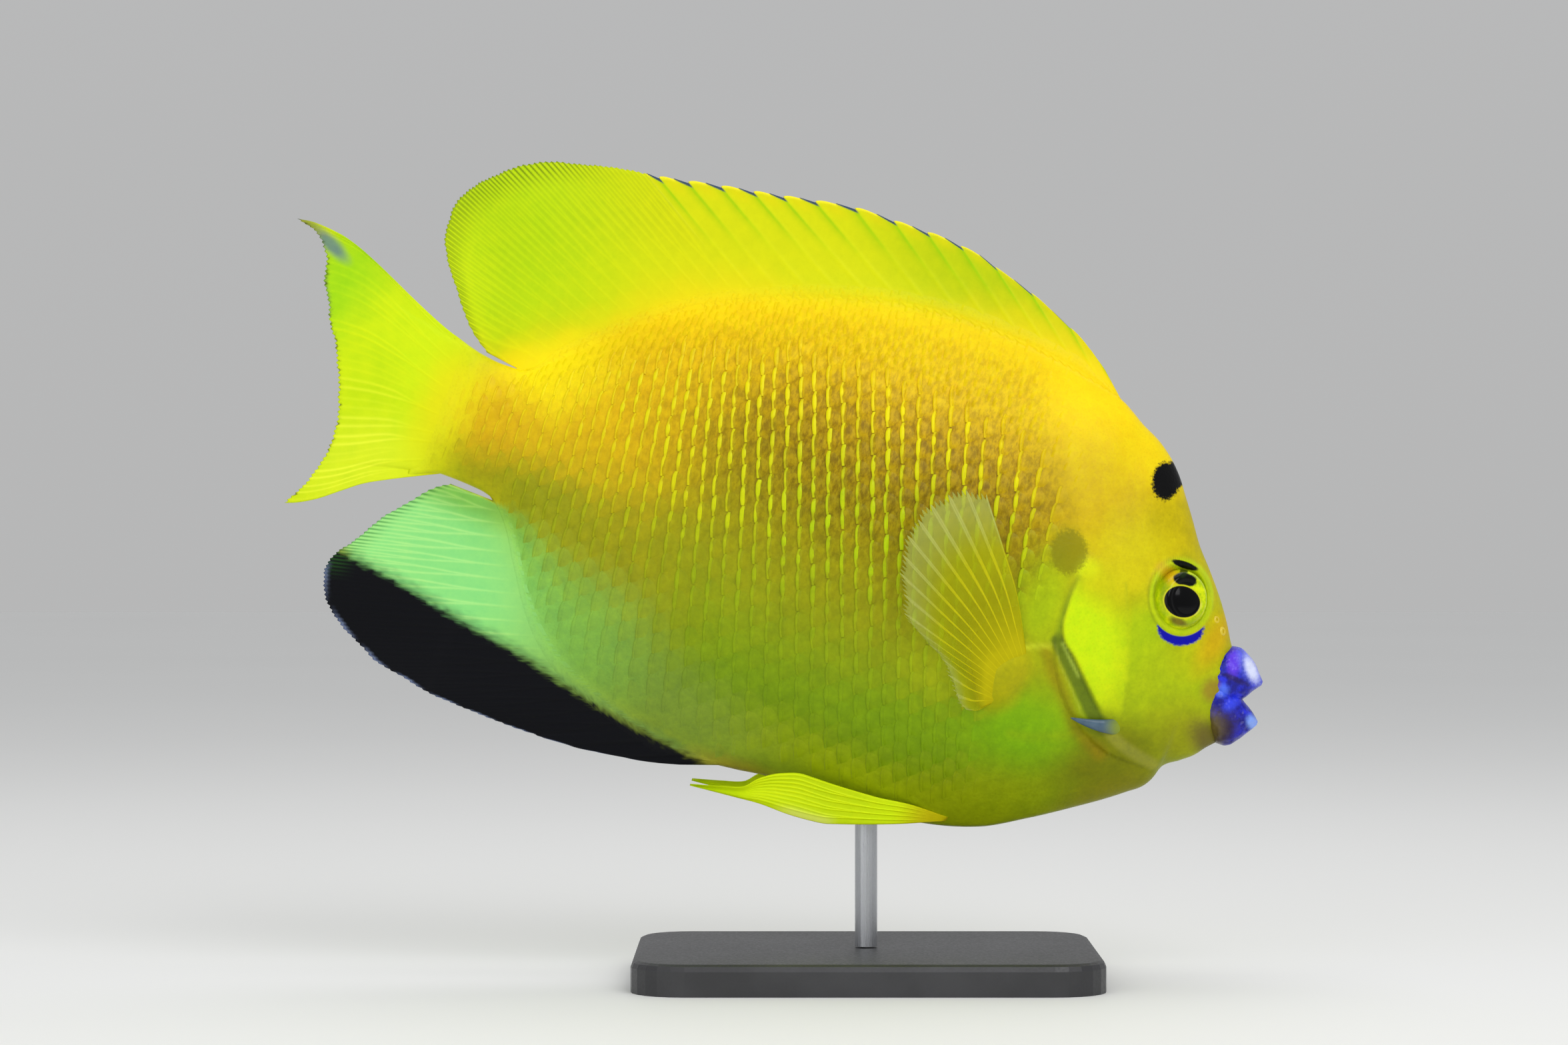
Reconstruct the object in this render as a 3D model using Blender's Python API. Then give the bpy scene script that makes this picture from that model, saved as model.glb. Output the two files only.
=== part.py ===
"""Flagfin angelfish, adult, a life-size still model on a plain display stand.

The fish is drawn in its own frame, in millimetres: s runs back from the snout, h runs up
and y runs out to its left. An empty then tips the whole fish nose down on the stand.
"""

import math

import bmesh
import bpy
import numpy as np
from mathutils import Matrix, Vector

# Driving dimensions, in millimetres and degrees

MM = 0.001
GAP = 0.3
NOSE_DOWN = 19.0
SNOUT_X = 110.0
SNOUT_Z = 66.0

BODY_START = 9.3
TAIL_CUT = 180.2
BODY_END = 190.0
TAIL_CUT_REACH = 40.0

# Top of the head, then the line that the dorsal fin grows from: (s, h)
BACK = [
    (9.3, 6.3), (12, 10.6), (15, 15.0), (19.5, 20.6), (23.5, 25.2), (27, 30.3), (30, 34.5),
    (33, 38.6), (36.5, 42.1), (40, 44.6), (44, 46.6), (50, 50.0), (60, 52.5), (75, 54.8),
    (90, 55.6), (105, 54.2), (120, 50.5), (135, 45.0), (150, 37.5), (160, 30.2), (168, 23.2),
    (174, 17.5), (178.3, 13.7), (181, 12.8), (185, 12.7), (190, 13.3),
]
# Chin, throat, breast and belly, then the line that the anal fin grows from
BELLY = [
    (9.3, -19.7), (12, -22.0), (15.6, -24.9), (16.6, -28.0), (18, -30.2), (21, -32.6),
    (25, -35.6), (30, -39.0), (40, -45.4), (50, -50.9), (60, -53.8), (72, -55.6), (85, -56.2),
    (98, -55.6), (108, -56.6), (120, -56.0), (130, -53.8), (140, -50.6), (150, -46.2),
    (158, -40.0), (164, -32.5), (168, -26.0), (172, -20.4), (176.5, -17.0), (181, -15.7),
    (190, -15.2),
]
# Half of the greatest thickness of each cross section
HALF_GIRTH = [
    (9.3, 6.0), (13, 7.7), (18, 9.7), (25, 11.8), (35, 14.0), (45, 15.6), (55, 16.8),
    (70, 17.6), (85, 17.8), (100, 17.2), (120, 14.9), (140, 11.6), (160, 7.9), (172, 5.8),
    (180, 4.6), (190, 3.8),
]
# How fast the section closes towards its edges: 0.5 is an ellipse, more is a keel
KEEL = [(9.3, 0.5), (20, 0.56), (40, 0.66), (70, 0.74), (190, 0.74)]
# Half thickness left along the back and along the belly
BACK_EDGE = [(9.3, 1.2), (30, 1.2), (50, 1.7), (90, 2.1), (150, 1.7), (178, 1.3), (190, 1.2)]
BELLY_EDGE = [(9.3, 1.2), (40, 0.9), (100, 0.9), (112, 1.4), (150, 1.8), (178, 1.3), (190, 1.2)]

STATION_STEP = 4.4
HEAD_STATION_STEP = 2.6
HEAD_STATIONS_END = 52.0
THROAT_STATIONS, THROAT_CLEAR = [15.6, 16.1, 16.6, 17.3], 0.6
SECTION_ROWS = 18
EDGE_CROWDING = 0.6
HEAD_MIDDLE_LIMIT = 31.2
SHARP_ANGLE = 50.0

# The gill opening, where the head ends, from above the nape to below the throat
GILL_CUT = [
    (44.8, 58.0), (44.9, 46.0), (45.4, 32.0), (47.0, 20.0), (48.4, 13.0), (48.8, 5.0),
    (48.4, 0.0), (47.5, -5.5), (45.8, -11.0), (42.8, -16.0), (38.2, -20.6), (33.0, -23.8),
    (27.0, -25.8), (20.0, -26.2), (12.0, -24.9),
]

# Gill cover: its front edge on the cheek and its free rear edge, from top to bottom
COVER_FRONT = [(37.2, 13.4), (33.7, 7.0), (31.6, 0.0), (30.1, -5.0), (28.9, -10.0), (28.2, -16.2)]
COVER_REAR = [(46.6, 12.9), (47.7, 5.0), (47.4, 0.0), (46.4, -5.0), (41.2, -10.4), (32.2, -16.9)]
COVER_DEPTH = 1.5
COVER_LIFT, COVER_SWELL, COVER_ROOM_OUT = (0.15, 1.0), 0.5, 3.0
COVER_COLUMNS, COVER_ROWS = 6, 9

# Lips and lower jaw: (s, upper edge, lower edge, half width)
UPPER_LIP = [
    (9.0, 6.1, -2.9, 5.9), (7.2, 6.2, -2.9, 5.7), (5.0, 5.5, -3.0, 5.1), (3.0, 4.0, -2.9, 4.1),
    (1.4, 2.2, -1.9, 2.9), (0.2, 0.9, -0.1, 1.2),
]
LOWER_JAW = [
    (9.0, -3.3, -19.3, 6.0), (7.0, -3.7, -17.3, 5.8), (5.0, -4.2, -16.1, 5.3),
    (3.0, -4.9, -15.2, 4.6), (1.0, -5.9, -13.0, 3.6), (-0.5, -6.9, -10.9, 2.4),
    (-1.8, -7.8, -8.8, 1.0),
]
LIP_SECTION_ROWS = 10
LIP_ROUNDNESS, LIP_EDGE = 0.42, 0.3

EYE_AT = (23.4, 12.5)
EYE_RADII = (6.9, 7.2, 4.2)
EYE_SINK = 1.6
ORBIT_RADIUS, ORBIT_ROLL, ORBIT_SINK = 7.1, 1.1, 0.2

NOSTRILS, NOSTRIL_DEPTH = [(12.6, 8.6, 0.65), (14.9, 10.6, 0.5)], 1.2

# Cheek spine: root and tip on the side of the head, half height and half thickness there
SPINE_ROOT, SPINE_TIP = (26.6, -19.0), (38.2, -21.3)
SPINE_HALF_HEIGHT, SPINE_HALF_THICKNESS, SPINE_TIP_RADIUS = 1.7, 0.95, 0.16
SPINE_ROOT_OUT, SPINE_TIP_OUT = -0.1, 1.7

# Each ray of a fin that is named here: (ray number, its root, its tip)
DORSAL_RAYS = [
    (0, (50.6, 50.2), (57.0, 56.1)), (2, (61, 52.7), (78.5, 67.0)), (4, (75, 54.8), (97, 71.4)),
    (6, (90, 55.6), (113, 71.8)), (8, (104, 54.3), (131, 70.3)), (10, (117, 51.4), (145, 68.1)),
    (13, (135, 45), (166, 64.2)), (17, (148, 38.6), (186, 60.3)), (20, (157, 32.5), (199, 53.8)),
    (23, (163.5, 27.2), (206, 46)), (26, (169, 22.2), (206, 34.0)), (29, (174.5, 17.0), (196.4, 20.0)),
    (30, (178.0, 14.0), (189.3, 14.3)),
]
DORSAL_MARGIN = [
    (57.0, 56.1), (65, 61.2), (72, 64.3), (78.75, 67.0), (85, 68.8), (92.5, 71.0), (102.5, 72.0),
    (120, 72.0), (127.5, 71.0), (140, 68.7), (152.5, 66.6), (165, 64.2), (175, 63.0), (181, 61.6),
    (190, 59.3), (195, 56.9), (199, 53.8), (203.7, 49.2), (206, 46.0), (207.3, 41.5), (207, 36.5),
    (205, 31.5), (201, 26.0), (197, 20.6), (192.5, 16.4), (189.3, 14.3),
]
DORSAL_SPINES = 14

ANAL_RAYS = [
    (0, (109, -56.6), (118, -59.6)), (1, (116, -56.4), (131, -62.1)), (2, (123, -55.5), (144, -63.7)),
    (3, (130, -53.8), (156, -63.8)), (6, (143, -49.5), (178, -62.4)), (9, (153, -44.1), (196, -57.0)),
    (12, (160.5, -37.1), (206.5, -48.5)), (15, (166, -29.3), (205.5, -38.1)),
    (18, (171.5, -21.0), (197.0, -26.2)), (20, (176.6, -17.4), (187.3, -17.2)),
]
ANAL_MARGIN = [
    (118, -59.6), (125, -61.3), (135, -62.8), (144, -63.7), (155, -63.9), (165, -63.5), (175, -62.9),
    (185, -61.0), (190, -60.0), (195, -57.6), (200, -55.0), (205, -51.0), (207, -47.5), (208, -44.0),
    (207, -40.0), (204, -36.0), (200, -29.5), (196, -25.0), (193, -21.6), (190, -18.8), (187.3, -17.2),
]
ANAL_SPINES = 3

CAUDAL_RAYS = 17
CAUDAL_UPPER_EDGE = [
    (190.3, 13.3), (195, 14.6), (200, 16.3), (205, 18.4), (210, 20.7), (215, 23.1), (220, 25.4),
    (225, 27.4), (229, 28.5), (235.5, 29.1), (239.5, 28.6),
]
CAUDAL_LOWER_EDGE = [
    (190.3, -15.2), (195, -17.4), (201, -20.3), (206, -23.0), (210, -26.0), (215, -29.8),
    (219.5, -32.2), (221.3, -32.8),
]
CAUDAL_MARGIN = [
    (239.5, 28.6), (235, 27.3), (232.5, 25.3), (230.5, 22.2), (229.5, 18.0), (227.0, 13.4),
    (225.0, 9.0), (222.4, 5.0), (220.2, 0.2), (218.2, -5.0), (216.6, -10.5), (216, -16.0),
    (216.6, -21.0), (218.0, -26.0), (221.3, -32.8),
]

# Pectoral fin, from its lowest ray to its leading one
PECTORAL_RAYS = 16
PECTORAL_ROOT = [(57.8, -24.2), (59.3, -20.5), (59.4, -16.0), (57.6, -12.2), (54.2, -8.8)]
PECTORAL_MARGIN = [
    (62.4, -26.6), (64.6, -25.4), (68, -20.8), (71.5, -17.2), (77, -14.2), (82.3, -10.6),
    (84.2, -6.0), (86.4, -1.0), (87.2, 5.0), (86.4, 10.6), (83.6, 15.0), (79.6, 18.6), (73.8, 20.0),
]
PECTORAL_LEADING_EDGE = [(54.2, -8.8), (60.4, 2.2), (66.6, 10.6), (73.8, 20.0)]
PECTORAL_TRAILING_EDGE = [(57.8, -24.2), (59.8, -26.0), (62.4, -26.6)]
PECTORAL_ROOT_OUT, PECTORAL_SPREAD = 0.4, 0.29
PECTORAL_EDGE, PECTORAL_ROOT_SWELL = 0.28, 0.45
LOBE_AT, LOBE_RADII, LOBE_TILT = (55.6, -16.6), (4.6, 8.6, 2.6), 12.0

# Pelvic fin: upper and lower edges, and how far out from the middle it stands, by s
PELVIC_RAYS = 6
PELVIC_UPPER_EDGE = [
    (59.6, -50.9), (65, -50.8), (75, -51.7), (85, -52.0), (91, -52.0), (96, -53.4), (100.5, -56.2),
    (103, -58.9), (108, -60.5), (114.4, -62.2),
]
PELVIC_LOWER_EDGE = [
    (59.9, -53.0), (65, -55.0), (70, -56.8), (75, -58.5), (80, -60.1), (84, -61.2), (92, -61.7),
    (98, -61.5), (104, -61.9), (114.4, -62.7),
]
PELVIC_OUT = [(59, 1.9), (63, 3.5), (68, 5.6), (75, 7.0), (90, 8.4), (114.5, 9.4)]
PELVIC_LEAN = 0.8
PELVIC_ROWS = 10
PELVIC_EDGE, PELVIC_ROOT_SWELL = 0.26, 0.5

FIN_ROWS = 6
FIN_EDGE = 0.24
FIN_ROOT_FALL, CAUDAL_ROOT_FALL = 1.8, 2.2
RAY_HEIGHT = 0.22
SPINE_HEIGHT = 0.4
RIDGE_RISE = 3.0
RIDGE_FALL, CAUDAL_RIDGE_FALL = 0.6, 0.5
PAIRED_FIN_RIDGE = 0.8
SCALLOP = 0.55
FRAY = 0.3

BASE_SIZE = (104.0, 80.0, 7.0)
BASE_CORNER, BASE_EDGE = 12.0, 1.5
ROD_S, ROD_RADIUS, ROD_SINK = 75.0, 2.5, 7.0

COLOURS = {
    "head": ((0.66, 0.66, 0.02), 0.45),
    "torso": ((0.50, 0.33, 0.02), 0.5),
    "tail_base": ((0.66, 0.48, 0.02), 0.5),
    "fin": ((0.66, 0.76, 0.01), 0.45),
    "anal_fin": ((0.30, 0.72, 0.25), 0.45),
    "lip": ((0.02, 0.03, 0.55), 0.35),
    "eye": ((0.01, 0.01, 0.01), 0.12),
    "spine": ((0.12, 0.20, 0.38), 0.35),
    "stand": ((0.05, 0.05, 0.055), 0.5),
    "rod": ((0.55, 0.56, 0.58), 0.3),
}


# Curves through named points

def profile(keys):
    """A smooth function through (x, value) keys that never swings past them."""
    x, value = np.array(sorted(keys), float).T
    step = np.diff(x)
    rise = np.diff(value) / step
    slope = np.empty(len(x))
    slope[0], slope[-1] = rise[0], rise[-1]
    before, after = rise[:-1], rise[1:]
    wide, narrow = 2 * step[1:] + step[:-1], step[1:] + 2 * step[:-1]
    same_way = before * after > 0
    safe_before = np.where(same_way, before, 1)
    safe_after = np.where(same_way, after, 1)
    mean = (wide + narrow) / (wide / safe_before + narrow / safe_after)
    slope[1:-1] = np.where(same_way, mean, 0)

    def at(where):
        where = np.clip(where, x[0], x[-1])
        i = np.clip(np.searchsorted(x, where, side="right") - 1, 0, len(x) - 2)
        t = (where - x[i]) / step[i]
        ends = (1 + 2 * t) * (1 - t) ** 2 * value[i] + t * t * (3 - 2 * t) * value[i + 1]
        lean = t * (1 - t) ** 2 * slope[i] - t * t * (1 - t) * slope[i + 1]
        return ends + step[i] * lean

    return at


def path(points):
    """A smooth plane curve through the points, read from 0 at its start to 1 at its end."""
    points = np.array(points, float)
    along = np.concatenate([[0], np.cumsum(np.linalg.norm(np.diff(points, axis=0), axis=1))])
    along /= along[-1]
    first = profile(list(zip(along, points[:, 0])))
    second = profile(list(zip(along, points[:, 1])))
    return lambda t: np.array([first(t), second(t)])


def place_on(curve, point):
    """How far along the curve its nearest place to the point lies."""
    steps = np.linspace(0, 1, 801)
    places = np.array([curve(t) for t in steps])
    return steps[np.argmin(np.linalg.norm(places - np.array(point), axis=1))]


back, belly, half_girth = profile(BACK), profile(BELLY), profile(HALF_GIRTH)
keel, back_edge, belly_edge = profile(KEEL), profile(BACK_EDGE), profile(BELLY_EDGE)


def half_width(s, h):
    """Half the thickness of the body at a place on its side."""
    low, high = belly(s), back(s)
    up = min(max((h - low) / (high - low), 0.0), 1.0)
    round_part = half_girth(s) * (4 * up * (1 - up)) ** keel(s)
    edge = belly_edge(s) + (back_edge(s) - belly_edge(s)) * up
    return math.hypot(round_part, edge)


# Meshes, collections and Booleans

def clear_scene():
    for found in list(bpy.data.objects):
        bpy.data.objects.remove(found, do_unlink=True)


def new_collection(name):
    made = bpy.data.collections.new(name)
    bpy.context.scene.collection.children.link(made)
    return made


def material(name):
    if name in bpy.data.materials:
        return bpy.data.materials[name]
    colour, roughness = COLOURS[name]
    made = bpy.data.materials.new(name)
    made.use_nodes = True
    shader = made.node_tree.nodes["Principled BSDF"]
    shader.inputs["Base Color"].default_value = (*colour, 1)
    shader.inputs["Roughness"].default_value = roughness
    shader.inputs["Metallic"].default_value = 1.0 if name == "rod" else 0.0
    return made


def fish_point(s, h, y):
    """A place in the fish's frame as metres under the tipped empty."""
    return Vector((-s * MM, y * MM, h * MM))


def add_object(name, bm, collection, finish=None, parent=None):
    bmesh.ops.recalc_face_normals(bm, faces=bm.faces)
    mesh = bpy.data.meshes.new(name)
    bm.to_mesh(mesh)
    bm.free()
    mesh.shade_smooth()
    mesh.set_sharp_from_angle(angle=math.radians(SHARP_ANGLE))
    made = bpy.data.objects.new(name, mesh)
    collection.objects.link(made)
    made.parent = parent
    if finish:
        mesh.materials.append(material(finish))
    return made


def closed_sheet(near, far):
    """A closed body between two grids of points, split into triangles alike on both faces."""
    columns, rows = near.shape[:2]
    bm = bmesh.new()
    sides = []
    for grid in (near, far):
        sides.append([[bm.verts.new(fish_point(*grid[i, j])) for j in range(rows)] for i in range(columns)])
    for verts in sides:
        for i in range(columns - 1):
            for j in range(rows - 1):
                a, b = verts[i][j], verts[i + 1][j]
                c, d = verts[i + 1][j + 1], verts[i][j + 1]
                bm.faces.new((a, b, c))
                bm.faces.new((a, c, d))
    ring = [(i, 0) for i in range(columns)]
    ring += [(columns - 1, j) for j in range(1, rows)]
    ring += [(i, rows - 1) for i in range(columns - 2, -1, -1)]
    ring += [(0, j) for j in range(rows - 2, 0, -1)]
    for (i, j), (k, m) in zip(ring, ring[1:] + ring[:1]):
        bm.faces.new((sides[0][i][j], sides[0][k][m], sides[1][k][m], sides[1][i][j]))
    return bm


def islands(bm):
    """The connected pieces of a mesh, as lists of its vertices."""
    found, seen = [], set()
    for start in bm.verts:
        if start in seen:
            continue
        seen.add(start)
        piece, waiting = [], [start]
        while waiting:
            vert = waiting.pop()
            piece.append(vert)
            for edge in vert.link_edges:
                other = edge.other_vert(vert)
                if other not in seen:
                    seen.add(other)
                    waiting.append(other)
        found.append(piece)
    return found


def boolean(target, others, operation):
    """Joins or cuts the target with every object of the collection, then removes those."""
    bpy.context.view_layer.update()
    modifier = target.modifiers.new(operation.lower(), "BOOLEAN")
    modifier.operation = operation
    modifier.operand_type = "COLLECTION"
    modifier.collection = others
    modifier.solver = "EXACT"
    graph = bpy.context.evaluated_depsgraph_get()
    made = bpy.data.meshes.new_from_object(target.evaluated_get(graph))
    target.modifiers.clear()
    target.data = made
    for used in list(others.objects):
        bpy.data.objects.remove(used, do_unlink=True)


def keep_largest(target):
    bm = bmesh.new()
    bm.from_mesh(target.data)
    pieces = sorted(islands(bm), key=len)
    bmesh.ops.delete(bm, geom=[vert for piece in pieces[:-1] for vert in piece], context="VERTS")
    bm.to_mesh(target.data)
    bm.free()


def cutter_look(made):
    made.hide_render = True
    made.display_type = "WIRE"
    return made


def extruded_outline(name, outline, half_depth, collection, parent):
    """A flat outline in the fish's side plane, given thickness across the fish."""
    curve = bpy.data.curves.new(name, "CURVE")
    curve.dimensions = "2D"
    curve.fill_mode = "BOTH"
    curve.extrude = half_depth * MM
    spline = curve.splines.new("POLY")
    spline.points.add(len(outline) - 1)
    for point, (s, h) in zip(spline.points, outline):
        point.co = (-s * MM, h * MM, 0, 1)
    spline.use_cyclic_u = True
    drawn = bpy.data.objects.new(name + "_outline", curve)
    collection.objects.link(drawn)
    drawn.matrix_world = Matrix.Rotation(math.radians(90), 4, "X")
    bpy.context.view_layer.update()
    graph = bpy.context.evaluated_depsgraph_get()
    mesh = bpy.data.meshes.new_from_object(drawn.evaluated_get(graph))
    mesh.transform(drawn.matrix_world)
    bpy.data.objects.remove(drawn, do_unlink=True)
    bm = bmesh.new()
    bm.from_mesh(mesh)
    bpy.data.meshes.remove(mesh)
    bmesh.ops.remove_doubles(bm, verts=bm.verts, dist=0.001 * MM)
    return cutter_look(add_object(name, bm, collection, parent=parent))


# The body, one loft parted by thin cuts

def stations():
    head_count = round((HEAD_STATIONS_END - BODY_START) / HEAD_STATION_STEP)
    rear_count = round((BODY_END - HEAD_STATIONS_END) / STATION_STEP)
    places = list(np.linspace(BODY_START, HEAD_STATIONS_END, head_count + 1))
    places += list(np.linspace(HEAD_STATIONS_END, BODY_END, rear_count + 1)[1:])
    places = [s for s in places if min(abs(s - t) for t in THROAT_STATIONS) > THROAT_CLEAR]
    return sorted(places + THROAT_STATIONS)


def section_rows(count):
    """Fractions from the belly to the back, closer together at both edges."""
    even = np.linspace(0, 1, count + 1)
    return (1 - EDGE_CROWDING) * even + EDGE_CROWDING * (0.5 - 0.5 * np.cos(np.pi * even))


def body_mesh():
    places, rows = stations(), section_rows(SECTION_ROWS)
    near = np.empty((len(places), len(rows), 3))
    for i, s in enumerate(places):
        for j, up in enumerate(rows):
            h = belly(s) + (back(s) - belly(s)) * up
            near[i, j] = s, h, -half_width(s, h)
    return closed_sheet(near, near * (1, 1, -1))


def blade(line, samples=40):
    """A closed outline GAP wide along a line."""
    curve = path(line)
    middle = np.array([curve(t) for t in np.linspace(0, 1, samples)])
    run = np.gradient(middle, axis=0)
    side = np.stack([run[:, 1], -run[:, 0]], axis=1)
    side *= 0.5 * GAP / np.linalg.norm(side, axis=1, keepdims=True)
    return np.concatenate([middle + side, (middle - side)[::-1]])


def part_body(parts, cutters, pose):
    """Makes head, torso and tail base by parting the whole body."""
    whole = add_object("torso", body_mesh(), parts, "torso", pose)
    reach = 2 * max(value for _, value in HALF_GIRTH)
    extruded_outline("gill_cut", blade(GILL_CUT), reach, cutters, pose)
    tail_line = [(TAIL_CUT, TAIL_CUT_REACH), (TAIL_CUT, -TAIL_CUT_REACH)]
    extruded_outline("tail_cut", blade(tail_line, 2), reach, cutters, pose)
    boolean(whole, cutters, "DIFFERENCE")
    bm = bmesh.new()
    bm.from_mesh(whole.data)
    names = {}
    for piece in islands(bm):
        middle = -sum(vert.co.x for vert in piece) / len(piece) / MM
        low = -max(vert.co.x for vert in piece) / MM
        name = "tail_base" if low > TAIL_CUT - 1 else "head" if middle < HEAD_MIDDLE_LIMIT else "torso"
        names.setdefault(name, []).extend(piece)
    made = {"torso": whole}
    for name, piece in names.items():
        copy = bm.copy()
        copy.verts.ensure_lookup_table()
        keep = {vert.index for vert in piece}
        drop = [vert for vert in copy.verts if vert.index not in keep]
        bmesh.ops.delete(copy, geom=drop, context="VERTS")
        if name == "torso":
            copy.to_mesh(whole.data)
            copy.free()
        else:
            made[name] = add_object(name, copy, parts, name, pose)
    bm.free()
    for body in made.values():
        keep_largest(body)
    return made


# The head's own pieces

def surface_frame(s, h, side, sink=0.0, step=1.5):
    """A frame on the body's side: z out along its normal, x back and y up along it."""
    lean_s = (half_width(s + step, h) - half_width(s - step, h)) / (2 * step)
    lean_h = (half_width(s, h + step) - half_width(s, h - step)) / (2 * step)
    out = Vector((lean_s, side, -lean_h)).normalized()
    rearward = Vector((-1, 0, 0))
    rearward = (rearward - out * rearward.dot(out)).normalized()
    upward = out.cross(rearward) * (1 if out.cross(rearward).z > 0 else -1)
    middle = fish_point(s, h, side * half_width(s, h)) - out * sink * MM
    frame = Matrix.Identity(4)
    for column, axis in enumerate((rearward, upward, out)):
        frame.col[column][:3] = axis
    frame.translation = middle
    return frame


def add_ball(name, radii, frame, collection, finish=None, parent=None, segments=18, rings=10):
    bm = bmesh.new()
    bmesh.ops.create_uvsphere(bm, u_segments=segments, v_segments=rings, radius=1)
    bmesh.ops.scale(bm, vec=[radius * MM for radius in radii], verts=bm.verts)
    bmesh.ops.transform(bm, matrix=frame, verts=bm.verts)
    return add_object(name, bm, collection, finish, parent)


def add_orbit(name, frame, collection, parent, around=22, roll=6):
    """The raised fleshy ring round an eye."""
    bm = bmesh.new()
    bmesh.ops.create_circle(bm, segments=roll, radius=ORBIT_ROLL * MM)
    turn = Matrix.Translation((ORBIT_RADIUS * MM, 0, 0)) @ Matrix.Rotation(math.radians(90), 4, "X")
    bmesh.ops.transform(bm, matrix=turn, verts=bm.verts)
    bmesh.ops.spin(
        bm, geom=bm.verts[:] + bm.edges[:], cent=(0, 0, 0), axis=(0, 0, 1),
        angle=math.tau, steps=around, use_merge=True,
    )
    bmesh.ops.remove_doubles(bm, verts=bm.verts, dist=0.001 * MM)
    bmesh.ops.transform(bm, matrix=frame, verts=bm.verts)
    return add_object(name, bm, collection, parent=parent)


def gill_cover_mesh(side, grow=0.0):
    """The plate over the gills. With grow it is the room that it needs in the head."""
    front, rear = path(COVER_FRONT), path(COVER_REAR)
    columns, rows = COVER_COLUMNS, COVER_ROWS
    near = np.empty((columns + 1, rows + 1, 3))
    far = near.copy()
    outward = COVER_ROOM_OUT if grow else 0.0
    for j in range(rows + 1):
        down = j / rows
        start, end = front(down), rear(down)
        across = (end - start) / np.linalg.norm(end - start)
        top_grow = grow * (1 - 2 * down) * (j in (0, rows))
        for i in range(columns + 1):
            back_share = i / columns
            s, h = start + (end - start) * back_share + across * grow * (2 * back_share - 1) * (i in (0, columns))
            h += top_grow
            skin = half_width(s, h)
            swell = COVER_SWELL * math.sin(math.pi * back_share) * math.sin(math.pi * down)
            lift = COVER_LIFT[0] + (COVER_LIFT[1] - COVER_LIFT[0]) * back_share ** 2 + swell
            near[i, j] = s, h, side * (skin + lift + outward)
            far[i, j] = s, h, side * (skin - COVER_DEPTH - grow)
    return closed_sheet(near, far)


def spine_mesh(side, grow=0.0):
    root_out = half_width(*SPINE_ROOT) + SPINE_ROOT_OUT
    tip_out = half_width(*SPINE_TIP) + SPINE_TIP_OUT
    root = fish_point(*SPINE_ROOT, side * root_out)
    tip = fish_point(*SPINE_TIP, side * tip_out)
    length = (tip - root).length
    bm = bmesh.new()
    bmesh.ops.create_cone(
        bm, segments=10, cap_ends=True, radius1=(SPINE_HALF_HEIGHT + grow) * MM,
        radius2=(SPINE_TIP_RADIUS + grow) * MM, depth=length + 2 * grow * MM,
    )
    flat = (SPINE_HALF_THICKNESS + grow) / (SPINE_HALF_HEIGHT + grow)
    bmesh.ops.scale(bm, vec=(flat, 1, 1), verts=bm.verts)
    run = (tip - root).normalized()
    out = Vector((0, side, 0))
    out = (out - run * out.dot(run)).normalized()
    frame = Matrix.Identity(4)
    for column, axis in enumerate((out, run.cross(out), run)):
        frame.col[column][:3] = axis
    frame.translation = (root + tip) / 2
    bmesh.ops.transform(bm, matrix=frame, verts=bm.verts)
    return bm


def lip_mesh(keys):
    """A lip or jaw as a rounded form between its upper and lower edges."""
    upper = profile([(s, high) for s, high, _, _ in keys])
    lower = profile([(s, low) for s, _, low, _ in keys])
    half = profile([(s, half) for s, _, _, half in keys])
    rows = section_rows(LIP_SECTION_ROWS)
    places = np.linspace(keys[0][0], keys[-1][0], LIP_SECTION_ROWS)
    near = np.empty((len(places), len(rows), 3))
    for i, s in enumerate(places):
        for j, up in enumerate(rows):
            h = lower(s) + (upper(s) - lower(s)) * up
            bulge = half(s) * (4 * up * (1 - up)) ** LIP_ROUNDNESS
            near[i, j] = s, h, -math.hypot(bulge, LIP_EDGE)
    return closed_sheet(near, near * (1, 1, -1))


def build_head(head, parts, cutters, pose):
    for side, name in ((-1, "right"), (1, "left")):
        add_orbit("orbit_" + name, surface_frame(*EYE_AT, side, ORBIT_SINK), cutters, pose)
    boolean(head, cutters, "UNION")
    keep_largest(head)
    for side, name in ((-1, "right"), (1, "left")):
        socket = surface_frame(*EYE_AT, side, EYE_SINK)
        room = [radius + GAP for radius in EYE_RADII]
        cutter_look(add_ball("socket_" + name, room, socket, cutters, parent=pose))
        for s, h, radius in NOSTRILS:
            at = surface_frame(s, h, side)
            radii = (radius, radius, NOSTRIL_DEPTH)
            cutter_look(add_ball("nostril", radii, at, cutters, parent=pose, segments=8, rings=6))
        cutter_look(add_object("cover_room", gill_cover_mesh(side, GAP), cutters, parent=pose))
        cutter_look(add_object("spine_room", spine_mesh(side, GAP), cutters, parent=pose))
    boolean(head, cutters, "DIFFERENCE")
    keep_largest(head)
    for side, name in ((-1, "right"), (1, "left")):
        socket = surface_frame(*EYE_AT, side, EYE_SINK)
        add_ball("eye_" + name, EYE_RADII, socket, parts, "eye", pose)
        add_object("gill_cover_" + name, gill_cover_mesh(side), parts, "head", pose)
        add_object("cheek_spine_" + name, spine_mesh(side), parts, "spine", pose)
    add_object("upper_lip", lip_mesh(UPPER_LIP), parts, "lip", pose)
    add_object("lower_jaw", lip_mesh(LOWER_JAW), parts, "lip", pose)


# Fins

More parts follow.
